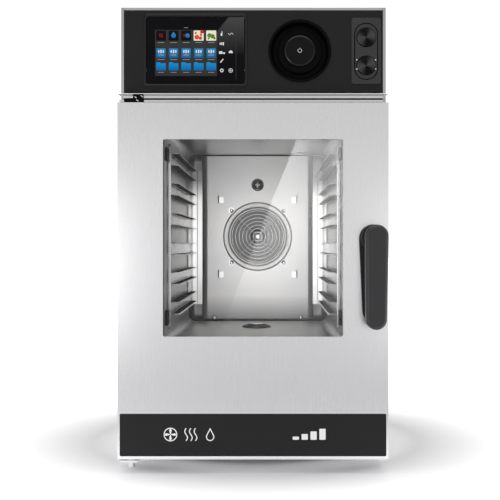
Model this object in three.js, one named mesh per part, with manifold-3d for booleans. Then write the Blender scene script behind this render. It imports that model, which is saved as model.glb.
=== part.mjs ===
// Compact combi steamer oven: six tray levels, a left-hinged glass door with a turning
// handle, a control panel above it, and the fan, heater, drain and vent that make it work.
// Millimetres, +Z up, +X to the right; the door faces -Y. The origin is on the floor,
// under the middle of the whole oven.

import * as THREE from 'three';
import { mergeVertices } from 'three/addons/utils/BufferGeometryUtils.js';
import Module from 'manifold-3d';

const wasm = await Module();
wasm.setup();

// ---------------------------------------------------------------- driving dimensions

const GAP = 0.3; // clearance between pieces that touch
const SHEET = 1.5; // stainless sheet thickness

const HALF_WIDTH = 259.5;
const BODY_BOTTOM = 30;
const BODY_TOP = 904;
const BODY_FRONT = -305;
const BODY_BACK = 380;
const REAR_REACH = 401.5; // how far the rear connections stand out
const RIM = 5.5; // folded edge around the control panel
const PANEL_BOTTOM = 728;
const VISOR = { nose: -350, low: 719.5, high: 735 };
const FOOT_TOP = 46;
const STUD_RADIUS = 5;

const MOUTH_HALF = 175; // oven cavity, inside
const CAVITY_FLOOR = 246;
const CAVITY_CEILING = 667;
const MOUTH_HEIGHT = [CAVITY_FLOOR, CAVITY_CEILING];
const CAVITY_BACK = 314;
const CAVITY_CORNER = 18;
const CAVITY_FRONT = BODY_FRONT + SHEET + GAP;
const WOOL = { thickness: 40, front: -280, back: 312 };

const DOOR_FACE = -351.5;
const DOOR_DEPTH = 28;
const DOOR_BOTTOM = 28;
const DOOR_TOP = 711.6;
const DOOR_HEIGHT = [DOOR_BOTTOM, DOOR_TOP];
const WINDOW_HALF = 172.5;
const WINDOW_HEIGHT = [263, 641];
const GLASS = 4;
const INNER_GLASS = { half: 179.5, z: [242, 671], y: [-318, -314] };
const SEAL_FACE = -312; // where the door meets the gasket
const STRIP_HALF = 255;
const STRIP_HEIGHT = [34.3, 115.2];
const STRIP_DEPTH = 3;

const LAMP_STRIP = { x: [180, 188], y: [-344.5, -328], z: [280, 625] };

const HINGE_X = -235;
const HINGE_Y = -336;
const PIN_RADIUS = 4;
const ARM_BACK = -250; // rear end of the lower hinge arm

const SPINDLE_X = 234;
const SPINDLE_Z = 452;
const SPINDLE_RADIUS = 5;
const HANDLE_FACE = -401.5;
const HANDLE_THICKNESS = 29.5;
const SLOT = { x: [216, 252], z: [432, 472] }; // the latch hook goes in here
const STRIKE_NOSE = -286;

const FASCIA_DEPTH = 3;
const SCREEN = { x: [-210, -17.5], z: [754, 886] };
const BEZEL = { x: [-216, -11.5], z: [748.4, 892.1], depth: 2 };
const KNOB_X = 90.9;
const KNOB_Z = 819.2;
const KNOB = { face: -309, foot: -293, cap: 30.5, skirt: 43, shaft: 3 };
const BOWL = { rim: 61.5, throat: 56, back: -289 };
const PORT_PLATE = { x: [192, 250], z: [754, 883.7], depth: 2.2 };
const PORT_BOX = { x: [200, 243], z: [766, 870], back: -292 };
const PORT_X = 221.3;
const PORT_HEIGHTS = [845.5, 790.5];
const PORT_RADIUS = 18.4;
const PORT_FLOOR = -299; // the caps sit just ahead of it

const TRAY_LEVELS = 6;
const TRAY_PITCH = 60;
const FIRST_TRAY = 300;
const RACK = { wall: 173.7, web: 168, lip: 151, stop: 139 }; // distances from the middle
const RACK_FRONT = -253.5;
const RACK_BACK = 243;
const POST_HEIGHTS = [269, 642];
const STOP_HEIGHTS = [290, 625];
const GUIDE_HEIGHT = 22;
const RACK_PIN_HEIGHTS = [341, 581];
const RACK_PIN_DEPTHS = [-246, 235.5];
const RACK_LIFT = 12;

const FAN_Z = 460;
const FAN_RADIUS = 95;
const BAFFLE_FACE = 266;
const BAFFLE_HALF = 132;
const BAFFLE_KNOBS = [-110, 110];
const BAFFLE_KNOB_Z = 254.5;
const BAFFLE_SLITS = { x: 99.7, z: 94.5 }; // from the fan's centre
const GUARD = { rim: 87, mouth: 70.3, lugs: 94, foot: BAFFLE_FACE - GAP };
const NOZZLE_Z = 591;
const SHAFT_RADIUS = 6;
const HEATER_RADIUS = 112;
const HEATER_LEG = 9;

const DRAIN_Y = 74;
const DRAIN_Z = 120;
const DRAIN_RADIUS = 25;
const CHIMNEY_X = 110;
const CHIMNEY_Y = 205;
const CHIMNEY_TOP = 930;
const CHIMNEY_RADIUS = 20;
const FLAP_Z = 880;

const INLET_X = -150;
const INLET_Z = 96;
const INLET_RADIUS = 13;
const GLAND_X = -205;
const GLAND_Z = 150;
const GLAND_NECK = 9.2;
const COOLING_X = -110;
const COOLING_Z = 800;
const LOUVRE_PITCH = 14;
const LOW_LOUVRES = { x: [100, 200], z: 200 };

const FOOT_X = 200;
const FOOT_DEPTHS = [-185, 330];

// ------------------------------------------------------------------------- finishes

function finish(color, roughness, metalness, opacity = 1) {
  const transparent = opacity < 1;
  return new THREE.MeshStandardMaterial({ color, roughness, metalness, opacity, transparent });
}

const STEEL = finish(0xc6c7c9, 0.34, 1);
const POLISHED = finish(0xdcdddf, 0.14, 1);
const CAVITY_STEEL = finish(0xb9babb, 0.28, 1);
const DARK_METAL = finish(0x2c2c2e, 0.32, 0.9);
const BLACK_PLASTIC = finish(0x1d1d1f, 0.42, 0);
const GREY_PLASTIC = finish(0x3c3c3e, 0.48, 0);
const SILICONE = finish(0x161616, 0.62, 0);
const CLEAR_GLASS = finish(0xe8eef0, 0.04, 0, 0.25);
const SCREEN_GLASS = finish(0x0c0d10, 0.08, 0);
const CIRCUIT_GREEN = finish(0x1f5a3a, 0.5, 0);
const MOTOR_PAINT = finish(0x4a4d52, 0.5, 0.4);
const ROCKWOOL = finish(0xb8a36a, 0.95, 0);
const BRASS = finish(0xb5924a, 0.3, 1);
const LAMP = finish(0xfff6e0, 0.4, 0);

// ------------------------------------------------------------- solids and their cuts

function toSolid(geometry) {
  geometry.deleteAttribute('normal');
  geometry.deleteAttribute('uv');
  const merged = mergeVertices(geometry, 1e-4);
  const corners = merged.index.array;
  const triangles = [];
  for (let i = 0; i < corners.length; i += 3) {
    const [a, b, c] = corners.slice(i, i + 3);
    if (a !== b && b !== c && c !== a) {
      triangles.push(a, b, c);
    }
  }
  return new wasm.Manifold(new wasm.Mesh({
    numProp: 3,
    vertProperties: new Float32Array(merged.attributes.position.array),
    triVerts: new Uint32Array(triangles),
  }));
}

function toGeometry(solid) {
  const mesh = solid.getMesh();
  const geometry = new THREE.BufferGeometry();
  geometry.setAttribute('position', new THREE.BufferAttribute(mesh.vertProperties, 3));
  geometry.setIndex(new THREE.BufferAttribute(mesh.triVerts, 1));
  geometry.computeVertexNormals();
  return geometry;
}

function join(solids) {
  return solids.reduce((whole, solid) => whole.add(solid));
}

function cut(solid, tools) {
  return tools.reduce((whole, tool) => whole.subtract(tool), solid);
}

function spread([low, high], by) {
  return [low - by, high + by];
}

const bothWays = (half) => [-half, half];

function slab(x, y, z, ...moves) {
  const geometry = new THREE.BoxGeometry(x[1] - x[0], y[1] - y[0], z[1] - z[0]);
  geometry.translate((x[0] + x[1]) / 2, (y[0] + y[1]) / 2, (z[0] + z[1]) / 2);
  moves.forEach((move) => geometry.applyMatrix4(move));
  return toSolid(geometry);
}

// Moves for a slab, applied in the order they are given.
const shift = (x, y, z) => new THREE.Matrix4().makeTranslation(x, y, z);
const turnAboutY = (degrees) => new THREE.Matrix4().makeRotationY(THREE.MathUtils.degToRad(degrees));
const turnAboutZ = (degrees) => new THREE.Matrix4().makeRotationZ(THREE.MathUtils.degToRad(degrees));

// A round bar along one axis; across gives its place on the other two axes, in order.
function rod(axis, radius, across, span, sides = 24) {
  const geometry = new THREE.CylinderGeometry(radius, radius, span[1] - span[0], sides);
  const middle = (span[0] + span[1]) / 2;
  if (axis === 'x') {
    geometry.rotateZ(Math.PI / 2).translate(middle, across[0], across[1]);
  } else if (axis === 'y') {
    geometry.translate(across[0], middle, across[1]);
  } else {
    geometry.rotateX(Math.PI / 2).translate(across[0], across[1], middle);
  }
  return toSolid(geometry);
}

function washer(axis, outer, inner, across, span, sides = 24) {
  const past = [span[0] - 1, span[1] + 1];
  return rod(axis, outer, across, span, sides).subtract(rod(axis, inner, across, past, sides));
}

// Outlines are drawn across their axis and pushed along it.
const ALONG = {
  x: (span) => new THREE.Matrix4().set(0, 0, 1, span[0], 1, 0, 0, 0, 0, 1, 0, 0, 0, 0, 0, 1),
  y: (span) => new THREE.Matrix4().set(1, 0, 0, 0, 0, 0, -1, span[1], 0, 1, 0, 0, 0, 0, 0, 1),
  z: (span) => new THREE.Matrix4().makeTranslation(0, 0, span[0]),
};

function push(shape, axis, span, curveSegments = 5) {
  const depth = span[1] - span[0];
  const geometry = new THREE.ExtrudeGeometry(shape, { depth, bevelEnabled: false, curveSegments });
  geometry.applyMatrix4(ALONG[axis](span));
  return toSolid(geometry);
}

function polygon(points) {
  return new THREE.Shape(points.map(([u, v]) => new THREE.Vector2(u, v)));
}

function roundedRectangle(u, v, radius) {
  const shape = new THREE.Shape();
  const quarter = Math.PI / 2;
  shape.absarc(u[1] - radius, v[0] + radius, radius, -quarter, 0);
  shape.absarc(u[1] - radius, v[1] - radius, radius, 0, quarter);
  shape.absarc(u[0] + radius, v[1] - radius, radius, quarter, 2 * quarter);
  shape.absarc(u[0] + radius, v[0] + radius, radius, 2 * quarter, 3 * quarter);
  return shape;
}

// A bar with round ends that stands upright, wider at the top than at the bottom.
function uprightBar(top, bottom) {
  const shape = new THREE.Shape();
  shape.absarc(top.u, top.v, top.radius, 0, Math.PI);
  shape.absarc(bottom.u, bottom.v, bottom.radius, Math.PI, 2 * Math.PI);
  return shape;
}

// A profile of [radius, depth] points turned about the Y axis.
function turned(profile, sides) {
  const points = profile.map(([radius, depth]) => new THREE.Vector2(radius, depth));
  return toSolid(new THREE.LatheGeometry(points, sides));
}

// The same about the Z axis, with [radius, height] points.
function turnedUpright(profile, sides) {
  return turned(profile, sides).rotate([90, 0, 0]);
}

const oven = new THREE.Group();

function group(parent) {
  const child = new THREE.Group();
  parent.add(child);
  return child;
}

function piece(parent, name, solid, material, place = [0, 0, 0]) {
  const mesh = new THREE.Mesh(toGeometry(solid), material);
  mesh.name = name;
  mesh.position.set(...place);
  parent.add(mesh);
  return mesh;
}

// --------------------------------------------------------------------------- casing

const INNER_HALF = HALF_WIDTH - SHEET - GAP;
const FRONT_HALF = HALF_WIDTH - RIM - GAP;

function makeBaseTray() {
  const depth = [CAVITY_FRONT, BODY_BACK - SHEET - GAP];
  const top = BODY_BOTTOM + 32;
  const shell = slab(bothWays(INNER_HALF), depth, [BODY_BOTTOM, top]);
  const inside = slab(
    bothWays(INNER_HALF - SHEET),
    spread(depth, -SHEET),
    [BODY_BOTTOM + SHEET, top + 1],
  );
  const through = [BODY_BOTTOM - 1, BODY_BOTTOM + 3];
  const studHoles = footPlaces().map((place) => rod('z', STUD_RADIUS + 0.6, place, through, 12));
  return cut(shell, [inside, ...studHoles]);
}

function makeSidePanel(side) {
  const across = (low, high) => (side > 0 ? [low, high] : [-high, -low]);
  const height = [BODY_BOTTOM, BODY_TOP];
  const sheet = slab(across(HALF_WIDTH - SHEET, HALF_WIDTH), [BODY_FRONT, BODY_BACK], height);
  const fold = slab(across(HALF_WIDTH - RIM, HALF_WIDTH), [BODY_FRONT, BODY_FRONT + SHEET], height);
  return sheet.add(fold);
}

function makeTopCover() {
  const back = BODY_FRONT + SHEET;
  const sheet = slab(bothWays(INNER_HALF), [back, BODY_BACK], [BODY_TOP - SHEET, BODY_TOP]);
  const fold = slab(bothWays(FRONT_HALF), [BODY_FRONT, back], [BODY_TOP - RIM + 0.5, BODY_TOP]);
  const hole = rod('z', CHIMNEY_RADIUS + 1, [CHIMNEY_X, CHIMNEY_Y], [BODY_TOP - 3, BODY_TOP + 1]);
  return sheet.add(fold).subtract(hole);
}

function makeBackPanel() {
  const span = [BODY_BACK - SHEET, BODY_BACK];
  const through = [span[0] - 1, span[1] + 1];
  const plate = slab(bothWays(INNER_HALF), span, [BODY_BOTTOM + 2, BODY_TOP - SHEET - GAP]);
  const holes = [
    rod('y', DRAIN_RADIUS + 1, [0, DRAIN_Z], through),
    rod('y', INLET_RADIUS + 0.6, [INLET_X, INLET_Z], through, 20),
    rod('y', GLAND_NECK + 0.4, [GLAND_X, GLAND_Z], through, 20),
  ];
  for (let row = -2; row <= 2; row += 1) {
    const z = COOLING_Z + row * LOUVRE_PITCH;
    holes.push(slab(spread([COOLING_X, COOLING_X], 34), through, spread([z, z], 2.5)));
  }
  for (let row = 0; row < 6; row += 1) {
    const z = LOW_LOUVRES.z + row * LOUVRE_PITCH;
    holes.push(slab(LOW_LOUVRES.x, through, spread([z, z], 2)));
  }
  return cut(plate, holes);
}

function makeFrontFrame() {
  const span = [BODY_FRONT, BODY_FRONT + SHEET];
  const through = [span[0] - 1, span[1] + 1];
  const plate = slab(bothWays(FRONT_HALF), span, [BODY_BOTTOM + 2, PANEL_BOTTOM - 1]);
  return cut(plate, [
    slab(bothWays(MOUTH_HALF), through, MOUTH_HEIGHT),
    slab(SLOT.x, through, SLOT.z),
  ]);
}

function makeVisorLip() {
  const back = BODY_FRONT - GAP;
  const { nose, low, high } = VISOR;
  const profile = polygon([[back, low], [back, high], [nose, high - 6.6], [nose + 0.6, high - 8]]);
  return push(profile, 'x', bothWays(HALF_WIDTH));
}

function footPlaces() {
  return FOOT_DEPTHS.flatMap((y) => [[-FOOT_X, y], [FOOT_X, y]]);
}

function makeFoot() {
  const profile = [
    [0, 0], [19, 0], [20, 1.5], [20, 6], [11, 9], [11, BODY_BOTTOM - GAP],
    [STUD_RADIUS, BODY_BOTTOM - GAP], [STUD_RADIUS, FOOT_TOP], [0, FOOT_TOP],
  ];
  return turnedUpright(profile, 12);
}

// ------------------------------------------------------------------- cavity and flue

function cavityOutline(grow) {
  const half = MOUTH_HALF + grow;
  const back = CAVITY_BACK + grow;
  const radius = CAVITY_CORNER + grow;
  const front = grow > 0 ? CAVITY_FRONT : CAVITY_FRONT - 5;
  const shape = new THREE.Shape();
  shape.moveTo(-half, front);
  shape.lineTo(half, front);
  shape.absarc(half - radius, back - radius, radius, 0, Math.PI / 2);
  shape.absarc(-half + radius, back - radius, radius, Math.PI / 2, Math.PI);
  return shape;
}

function makeCavityShell() {
  const outside = push(cavityOutline(SHEET), 'z', spread(MOUTH_HEIGHT, SHEET));
  const inside = push(cavityOutline(0), 'z', MOUTH_HEIGHT);
  const back = [CAVITY_BACK - 1, CAVITY_BACK + 3];
  const pins = [];
  for (const side of [-1, 1]) {
    for (const z of RACK_PIN_HEIGHTS) {
      for (const y of RACK_PIN_DEPTHS) {
        const reach = [168.8, MOUTH_HALF + 0.5].map((x) => side * x).sort((a, b) => a - b);
        pins.push(rod('x', 3, [y, z], reach, 6));
      }
    }
  }
  const shell = cut(outside, [
    inside,
    rod('z', 23, [0, DRAIN_Y], [CAVITY_FLOOR - 3, CAVITY_FLOOR + 1]),
    rod('z', CHIMNEY_RADIUS - 2, [CHIMNEY_X, CHIMNEY_Y], [CAVITY_CEILING - 1, CAVITY_CEILING + 3]),
    rod('y', 10, [0, FAN_Z], back, 16),
    rod('y', 8, [0, NOZZLE_Z], back, 16),
    rod('y', 6, [-HEATER_LEG, FAN_Z - HEATER_RADIUS], back, 12),
    rod('y', 6, [HEATER_LEG, FAN_Z - HEATER_RADIUS], back, 12),
  ]);
  return join([shell, ...pins]);
}

function makeGasket() {
  const span = [SEAL_FACE + GAP, BODY_FRONT - GAP];
  const outer = roundedRectangle(bothWays(MOUTH_HALF + 20), spread(MOUTH_HEIGHT, 20), 14);
  const inner = roundedRectangle(bothWays(MOUTH_HALF + 4), spread(MOUTH_HEIGHT, 4), 6);
  return push(outer, 'y', span).subtract(push(inner, 'y', spread(span, 1)));
}

function makeInsulation() {
  const { thickness, front, back } = WOOL;
  const heights = spread(MOUTH_HEIGHT, thickness);
  const wool = slab(bothWays(MOUTH_HALF + thickness), [front, back], heights);
  const room = slab(bothWays(MOUTH_HALF + 2), [front - 1, back + 1], spread(MOUTH_HEIGHT, 2));
  return cut(wool, [
    room,
    rod('z', DRAIN_RADIUS + 10, [0, DRAIN_Y], [heights[0] - 1, CAVITY_FLOOR]),
    rod('z', CHIMNEY_RADIUS + 10, [CHIMNEY_X, CHIMNEY_Y], [CAVITY_CEILING, heights[1] + 1]),
  ]);
}

function makeDrainPipe() {
  const top = CAVITY_FLOOR - SHEET - GAP;
  const bore = DRAIN_RADIUS - 3;
  const outside = join([
    rod('z', DRAIN_RADIUS, [0, DRAIN_Y], [DRAIN_Z, top], 18),
    rod('y', DRAIN_RADIUS, [0, DRAIN_Z], [DRAIN_Y, REAR_REACH], 18),
    toSolid(new THREE.SphereGeometry(DRAIN_RADIUS, 18, 10).translate(0, DRAIN_Y, DRAIN_Z)),
    rod('z', DRAIN_RADIUS + 8, [0, DRAIN_Y], [top - 3, top], 18),
  ]);
  return cut(outside, [
    rod('z', bore, [0, DRAIN_Y], [DRAIN_Z, top + 1], 18),
    rod('y', bore, [0, DRAIN_Z], [DRAIN_Y, REAR_REACH + 1], 18),
  ]);
}

function makeStrainer() {
  const rest = CAVITY_FLOOR + GAP;
  const profile = [
    [0, rest - 14], [19.5, rest - 14], [20, rest], [33.5, rest], [33.5, rest + 2.4],
    [27, rest + 6.4], [16, rest + 8.6], [0, rest + 9.4],
  ];
  return turnedUpright(profile, 20);
}

function makeChimney() {
  const bottom = CAVITY_CEILING + SHEET + GAP;
  const bore = CHIMNEY_RADIUS - 1.5;
  const place = [CHIMNEY_X, CHIMNEY_Y];
  const pipe = washer('z', CHIMNEY_RADIUS, bore, place, [bottom, CHIMNEY_TOP], 20);
  const collar = washer('z', CHIMNEY_RADIUS + 8, bore, place, [bottom, bottom + 2], 20);
  return pipe.add(collar).subtract(rod('x', 2.2, [CHIMNEY_Y, FLAP_Z], [CHIMNEY_X, CHIMNEY_X + 30], 8));
}

function makeVentFlap() {
  const disc = rod('z', CHIMNEY_RADIUS - 2.5, [0, 0], [-0.8, 0.8], 20);
  const axle = rod('x', 1.8, [0, 0], [-16, 27], 8);
  const crank = slab([25, 27], [-2.5, 12], [-2.5, 2.5]);
  return join([disc, axle, crank]);
}

// ---------------------------------------------------------------- fan, heater, baffle

function makeBaffle() {
  const t = 1.2;
  const bend = 24;
  const profile = polygon([
    [-BAFFLE_HALF, BAFFLE_FACE],
    [BAFFLE_HALF, BAFFLE_FACE],
    [BAFFLE_HALF + 7, BAFFLE_FACE + 5],
    [BAFFLE_HALF + 10, BAFFLE_FACE + bend],
    [BAFFLE_HALF + 10 - t, BAFFLE_FACE + bend],
    [BAFFLE_HALF + 6, BAFFLE_FACE + 6],
    [BAFFLE_HALF - 1, BAFFLE_FACE + t],
    [-BAFFLE_HALF + 1, BAFFLE_FACE + t],
    [-BAFFLE_HALF - 6, BAFFLE_FACE + 6],
    [-BAFFLE_HALF - 10 + t, BAFFLE_FACE + bend],
    [-BAFFLE_HALF - 10, BAFFLE_FACE + bend],
    [-BAFFLE_HALF - 7, BAFFLE_FACE + 5],
  ]);
  const through = [BAFFLE_FACE - 1, BAFFLE_FACE + 3];
  const holes = [
    rod('y', 69, [0, FAN_Z], through, 28),
    rod('y', 8.5, [0, NOZZLE_Z], through, 16),
  ];
  for (const x of bothWays(BAFFLE_SLITS.x)) {
    for (const z of spread([FAN_Z, FAN_Z], BAFFLE_SLITS.z)) {
      holes.push(slab([x - 1.5, x + 1.5], through, [z - 10, z + 10]));
    }
  }
  for (const x of BAFFLE_KNOBS) {
    holes.push(rod('y', 2.3, [x, BAFFLE_KNOB_Z], through, 10));
  }
  return cut(push(profile, 'z', spread(MOUTH_HEIGHT, -3)), holes);
}

function makeBaffleKnob() {
  const profile = [[0, -6.5], [3.5, -6.5], [4.5, -5.5], [4.5, -0.4], [2, -0.4], [2, 12], [0, 12]];
  const knob = turned(profile, 10);
  const key = slab([-5.5, 5.5], [6, 9], [-1.5, 1.5]);
  return knob.add(key);
}

function makeFanGuard() {
  const centre = [0, FAN_Z];
  const rings = [28, 42, 56].map((radius) => (
    washer('y', radius + 1.4, radius - 1.4, centre, [258.5, 261], 16)
  ));
  const flange = washer('y', GUARD.rim, GUARD.mouth, centre, [264.1, GUARD.foot], 24);
  const rim = washer('y', GUARD.rim, GUARD.rim - 2.5, centre, [260, 264.5], 24);
  const neck = washer('y', GUARD.mouth + 2.2, GUARD.mouth, centre, [259.5, 264.5], 24);
  const spokes = [];
  const lugs = [];
  for (let turn = 0; turn < 4; turn += 1) {
    const moves = [turnAboutY(turn * 90 + 45), shift(0, 0, FAN_Z)];
    spokes.push(slab([-1.1, 1.1], [260.6, 263.2], [10, 72], ...moves));
  }
  for (let turn = 0; turn < 4; turn += 1) {
    const angle = Math.PI / 4 + turn * Math.PI / 2;
    const place = [GUARD.lugs * Math.cos(angle), FAN_Z + GUARD.lugs * Math.sin(angle)];
    lugs.push(rod('y', 8, place, [263, GUARD.foot], 8));
  }
  const hub = washer('y', 14, 6, centre, [260, 262.5], 12);
  return join([flange, rim, neck, hub, ...rings, ...spokes, ...lugs]);
}

function makeFanWheel() {
  const centre = [0, FAN_Z];
  const blades = [];
  const bladeCount = 12;
  for (let index = 0; index < bladeCount; index += 1) {
    const lean = [turnAboutY(28), shift(0, 0, FAN_RADIUS - 17)];
    const round = [turnAboutY(index * 360 / bladeCount), shift(0, 0, FAN_Z)];
    blades.push(slab([-0.8, 0.8], [273, 303.5], [-17, 17], ...lean, ...round));
  }
  const plate = rod('y', FAN_RADIUS, centre, [303, 305], 28);
  const ring = washer('y', FAN_RADIUS, FAN_RADIUS - 14, centre, [272, 273.5], 28);
  const hub = rod('y', 17, centre, [284, 303.5], 14);
  const bore = rod('y', SHAFT_RADIUS + GAP, centre, [280, 310], 14);
  return join([plate, ring, hub, ...blades]).subtract(bore);
}

function makeFanMotor() {
  const bore = SHAFT_RADIUS + 0.5;
  const front = CAVITY_BACK + SHEET + 0.5;
  const profile = [
    [bore, front], [62, front], [62, front + 3], [46, front + 3], [46, front + 46],
    [40, front + 54], [bore, front + 54], [bore, front],
  ];
  return turned(profile, 28);
}

function makeHeater() {
  const points = [];
  const steps = 24;
  const depth = 290;
  const opening = 0.1;
  const leg = HEATER_LEG;
  points.push(new THREE.Vector3(-leg, 336, -HEATER_RADIUS));
  points.push(new THREE.Vector3(-leg, 312, -HEATER_RADIUS));
  for (let step = 0; step <= steps; step += 1) {
    const angle = -Math.PI / 2 - opening - (step / steps) * (2 * Math.PI - 2 * opening);
    const x = HEATER_RADIUS * Math.cos(angle);
    const z = HEATER_RADIUS * Math.sin(angle);
    points.push(new THREE.Vector3(x, depth, z));
  }
  points.push(new THREE.Vector3(leg, 312, -HEATER_RADIUS));
  points.push(new THREE.Vector3(leg, 336, -HEATER_RADIUS));
  const path = new THREE.CatmullRomCurve3(points, false, 'centripetal');
  const section = new THREE.Shape();
  section.absarc(0, 0, 3.6, 0, 2 * Math.PI);
  const geometry = new THREE.ExtrudeGeometry(section, { steps: 40, extrudePath: path, curveSegments: 3 });
  return toSolid(geometry);
}

function makeNozzle() {
  const profile = [
    [0, 248], [5, 248.6], [9.5, 251.5], [12, 256.5], [12, 259], [15.5, 260], [15.5, BAFFLE_FACE - GAP],
    [7.5, BAFFLE_FACE - GAP], [7.5, 345], [0, 345],
  ];
  return turned(profile, 18);
}

// ---------------------------------------------------------------------- control panel

function makeFascia() {
  const span = [BODY_FRONT, BODY_FRONT + FASCIA_DEPTH];
  const through = spread(span, 1);
  const top = BODY_TOP - RIM + 0.5 - GAP;
  const plate = push(roundedRectangle(bothWays(FRONT_HALF), [PANEL_BOTTOM, top], 4), 'y', span, 3);
  return cut(plate, [
    push(roundedRectangle(spread(SCREEN.x, 2), spread(SCREEN.z, 2), 4), 'y', through, 3),
    rod('y', BOWL.throat + 1.5, [KNOB_X, KNOB_Z], through, 28),
    slab(spread(PORT_BOX.x, 0.5), through, spread(PORT_BOX.z, 0.5)),
  ]);
}

function makeBezel() {
  const front = BODY_FRONT - GAP - BEZEL.depth;
  const outer = push(roundedRectangle(BEZEL.x, BEZEL.z, 7), 'y', [front, BODY_FRONT - GAP], 4);
  const inner = roundedRectangle(SCREEN.x, SCREEN.z, 3);
  return outer.subtract(push(inner, 'y', [front - 1, BODY_FRONT + 1], 3));
}

function makeDisplay() {
  const outline = roundedRectangle(spread(SCREEN.x, -GAP), spread(SCREEN.z, -GAP), 3);
  return push(outline, 'y', [BODY_FRONT - 1.3, -290], 3);
}

function makeControlBoard() {
  const board = slab([-205, -22], [-287, -285.4], [758, 882]);
  const chips = [
    slab([-190, -150], [-285.5, -276], [770, 800]),
    slab([-120, -60], [-285.5, -279], [800, 850]),
    slab([-60, -30], [-285.5, -265], [765, 790]),
  ];
  return join([board, ...chips]);
}

function makeKnobBowl() {
  const { rim, throat, back } = BOWL;
  const front = BODY_FRONT - GAP;
  const profile = [
    [6, back], [throat - 3, back], [throat, back + 4], [throat, front],
    [rim, front], [rim, front - 0.8], [throat - 0.6, front - 2.2],
    [throat - 2.4, back + 3], [throat - 4.4, back - 2], [6, back - 2], [6, back],
  ];
  return turned(profile.reverse(), 28);
}

function makeEncoderBody() {
  const body = slab([-15, 15], [BOWL.back + GAP, BOWL.back + 18], [-15, 15]);
  return body.subtract(rod('y', KNOB.shaft + 0.4, [0, 0], [BOWL.back, BOWL.back + 15], 12));
}

function makeEncoderShaft() {
  return rod('y', KNOB.shaft, [0, 0], [KNOB.face + 3, BOWL.back + 12], 12);
}

// The cap's face is almost level with the bowl's rim; a bore from behind takes the shaft.
function makeKnob() {
  const { face, foot, cap, skirt, shaft } = KNOB;
  const bore = shaft + GAP;
  const boreEnd = face + 3 - GAP;
  const profile = [
    [0, face], [cap - 2.5, face], [cap, face + 2.5], [cap, foot - 7],
    [skirt - 1, foot - 6], [skirt, foot - 5], [skirt, foot], [bore, foot], [bore, boreEnd], [0, boreEnd],
  ];
  return turned(profile, 28);
}

function makePortPlate() {
  const front = BODY_FRONT - GAP - PORT_PLATE.depth;
  const outline = roundedRectangle(PORT_PLATE.x, PORT_PLATE.z, 4);
  const plate = push(outline, 'y', [front, BODY_FRONT - GAP], 3);
  const housing = slab(PORT_BOX.x, [BODY_FRONT - 1, PORT_BOX.back], PORT_BOX.z);
  const depth = [front - 1, PORT_FLOOR];
  const sockets = PORT_HEIGHTS.map((z) => rod('y', PORT_RADIUS + GAP, [PORT_X, z], depth, 24));
  return cut(plate.add(housing), sockets);
}

function makePortCap() {
  const back = PORT_FLOOR - 0.4;
  const front = back - 10.2;
  const profile = [
    [0, front + 2.4], [15.5, front], [17.6, front], [PORT_RADIUS, front + 1], [PORT_RADIUS, back], [0, back],
  ];
  return turned(profile, 24);
}

// ------------------------------------------------------------------------------ door

function makeDoorSkin() {
  const back = DOOR_FACE + DOOR_DEPTH;
  const shell = slab(bothWays(HALF_WIDTH), [DOOR_FACE, back], DOOR_HEIGHT);
  const inside = slab(
    bothWays(HALF_WIDTH - SHEET),
    [DOOR_FACE + SHEET, back + 1],
    spread(DOOR_HEIGHT, -SHEET),
  );
  const pocketFloor = DOOR_FACE + STRIP_DEPTH + GAP;
  const pan = slab(
    bothWays(STRIP_HALF + 1.5),
    [DOOR_FACE + 0.5, pocketFloor + SHEET],
    spread(STRIP_HEIGHT, 1.8),
  );
  const strip = roundedRectangle(bothWays(STRIP_HALF + GAP), spread(STRIP_HEIGHT, GAP), 2.8);
  const window = roundedRectangle(bothWays(WINDOW_HALF), WINDOW_HEIGHT, 4);
  const through = [DOOR_FACE - 1, DOOR_FACE + 3];
  return cut(shell.subtract(inside).add(pan), [
    push(strip, 'y', [DOOR_FACE - 1, pocketFloor], 3),
    push(window, 'y', through, 3),
    rod('z', PIN_RADIUS + 1, [HINGE_X, HINGE_Y], spread(DOOR_HEIGHT, 1), 16),
    rod('y', SPINDLE_RADIUS + 1.5, [SPINDLE_X, SPINDLE_Z], through, 16),
  ]);
}

function makeOuterGlass() {
  const front = DOOR_FACE + SHEET + GAP;
  return slab(bothWays(WINDOW_HALF + 5.5), [front, front + GLASS], spread(WINDOW_HEIGHT, 5.5));
}

function makeInnerFrame() {
  const back = DOOR_FACE + DOOR_DEPTH - 0.5;
  const front = back - SHEET;
  const plate = slab(bothWays(INNER_HALF), [front, back], spread(DOOR_HEIGHT, -1.8));
  const outline = roundedRectangle(bothWays(MOUTH_HALF + 30), spread(MOUTH_HEIGHT, 30), 12);
  const land = push(outline, 'y', [front, SEAL_FACE], 3);
  const pocket = slab(
    bothWays(INNER_GLASS.half + GAP),
    [INNER_GLASS.y[0] - GAP, SEAL_FACE + 1],
    spread(INNER_GLASS.z, GAP),
  );
  return cut(plate.add(land), [
    pocket,
    slab(bothWays(INNER_GLASS.half - 3), [front - 1, SEAL_FACE + 1], spread(INNER_GLASS.z, -10)),
    rod('y', SPINDLE_RADIUS + 1.5, [SPINDLE_X, SPINDLE_Z], [front - 1, back + 1], 16),
  ]);
}

function makeInnerGlass() {
  return slab(bothWays(INNER_GLASS.half), INNER_GLASS.y, INNER_GLASS.z);
}

function makeTrimStrip() {
  const outline = roundedRectangle(bothWays(STRIP_HALF), STRIP_HEIGHT, 2.5);
  return push(outline, 'y', [DOOR_FACE, DOOR_FACE + STRIP_DEPTH], 3);
}

function makeHingeBush(z) {
  return washer('z', 9, PIN_RADIUS + GAP, [HINGE_X, HINGE_Y], z, 14);
}

function makeLampStrip() {
  return slab(LAMP_STRIP.x, LAMP_STRIP.y, LAMP_STRIP.z);
}

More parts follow.
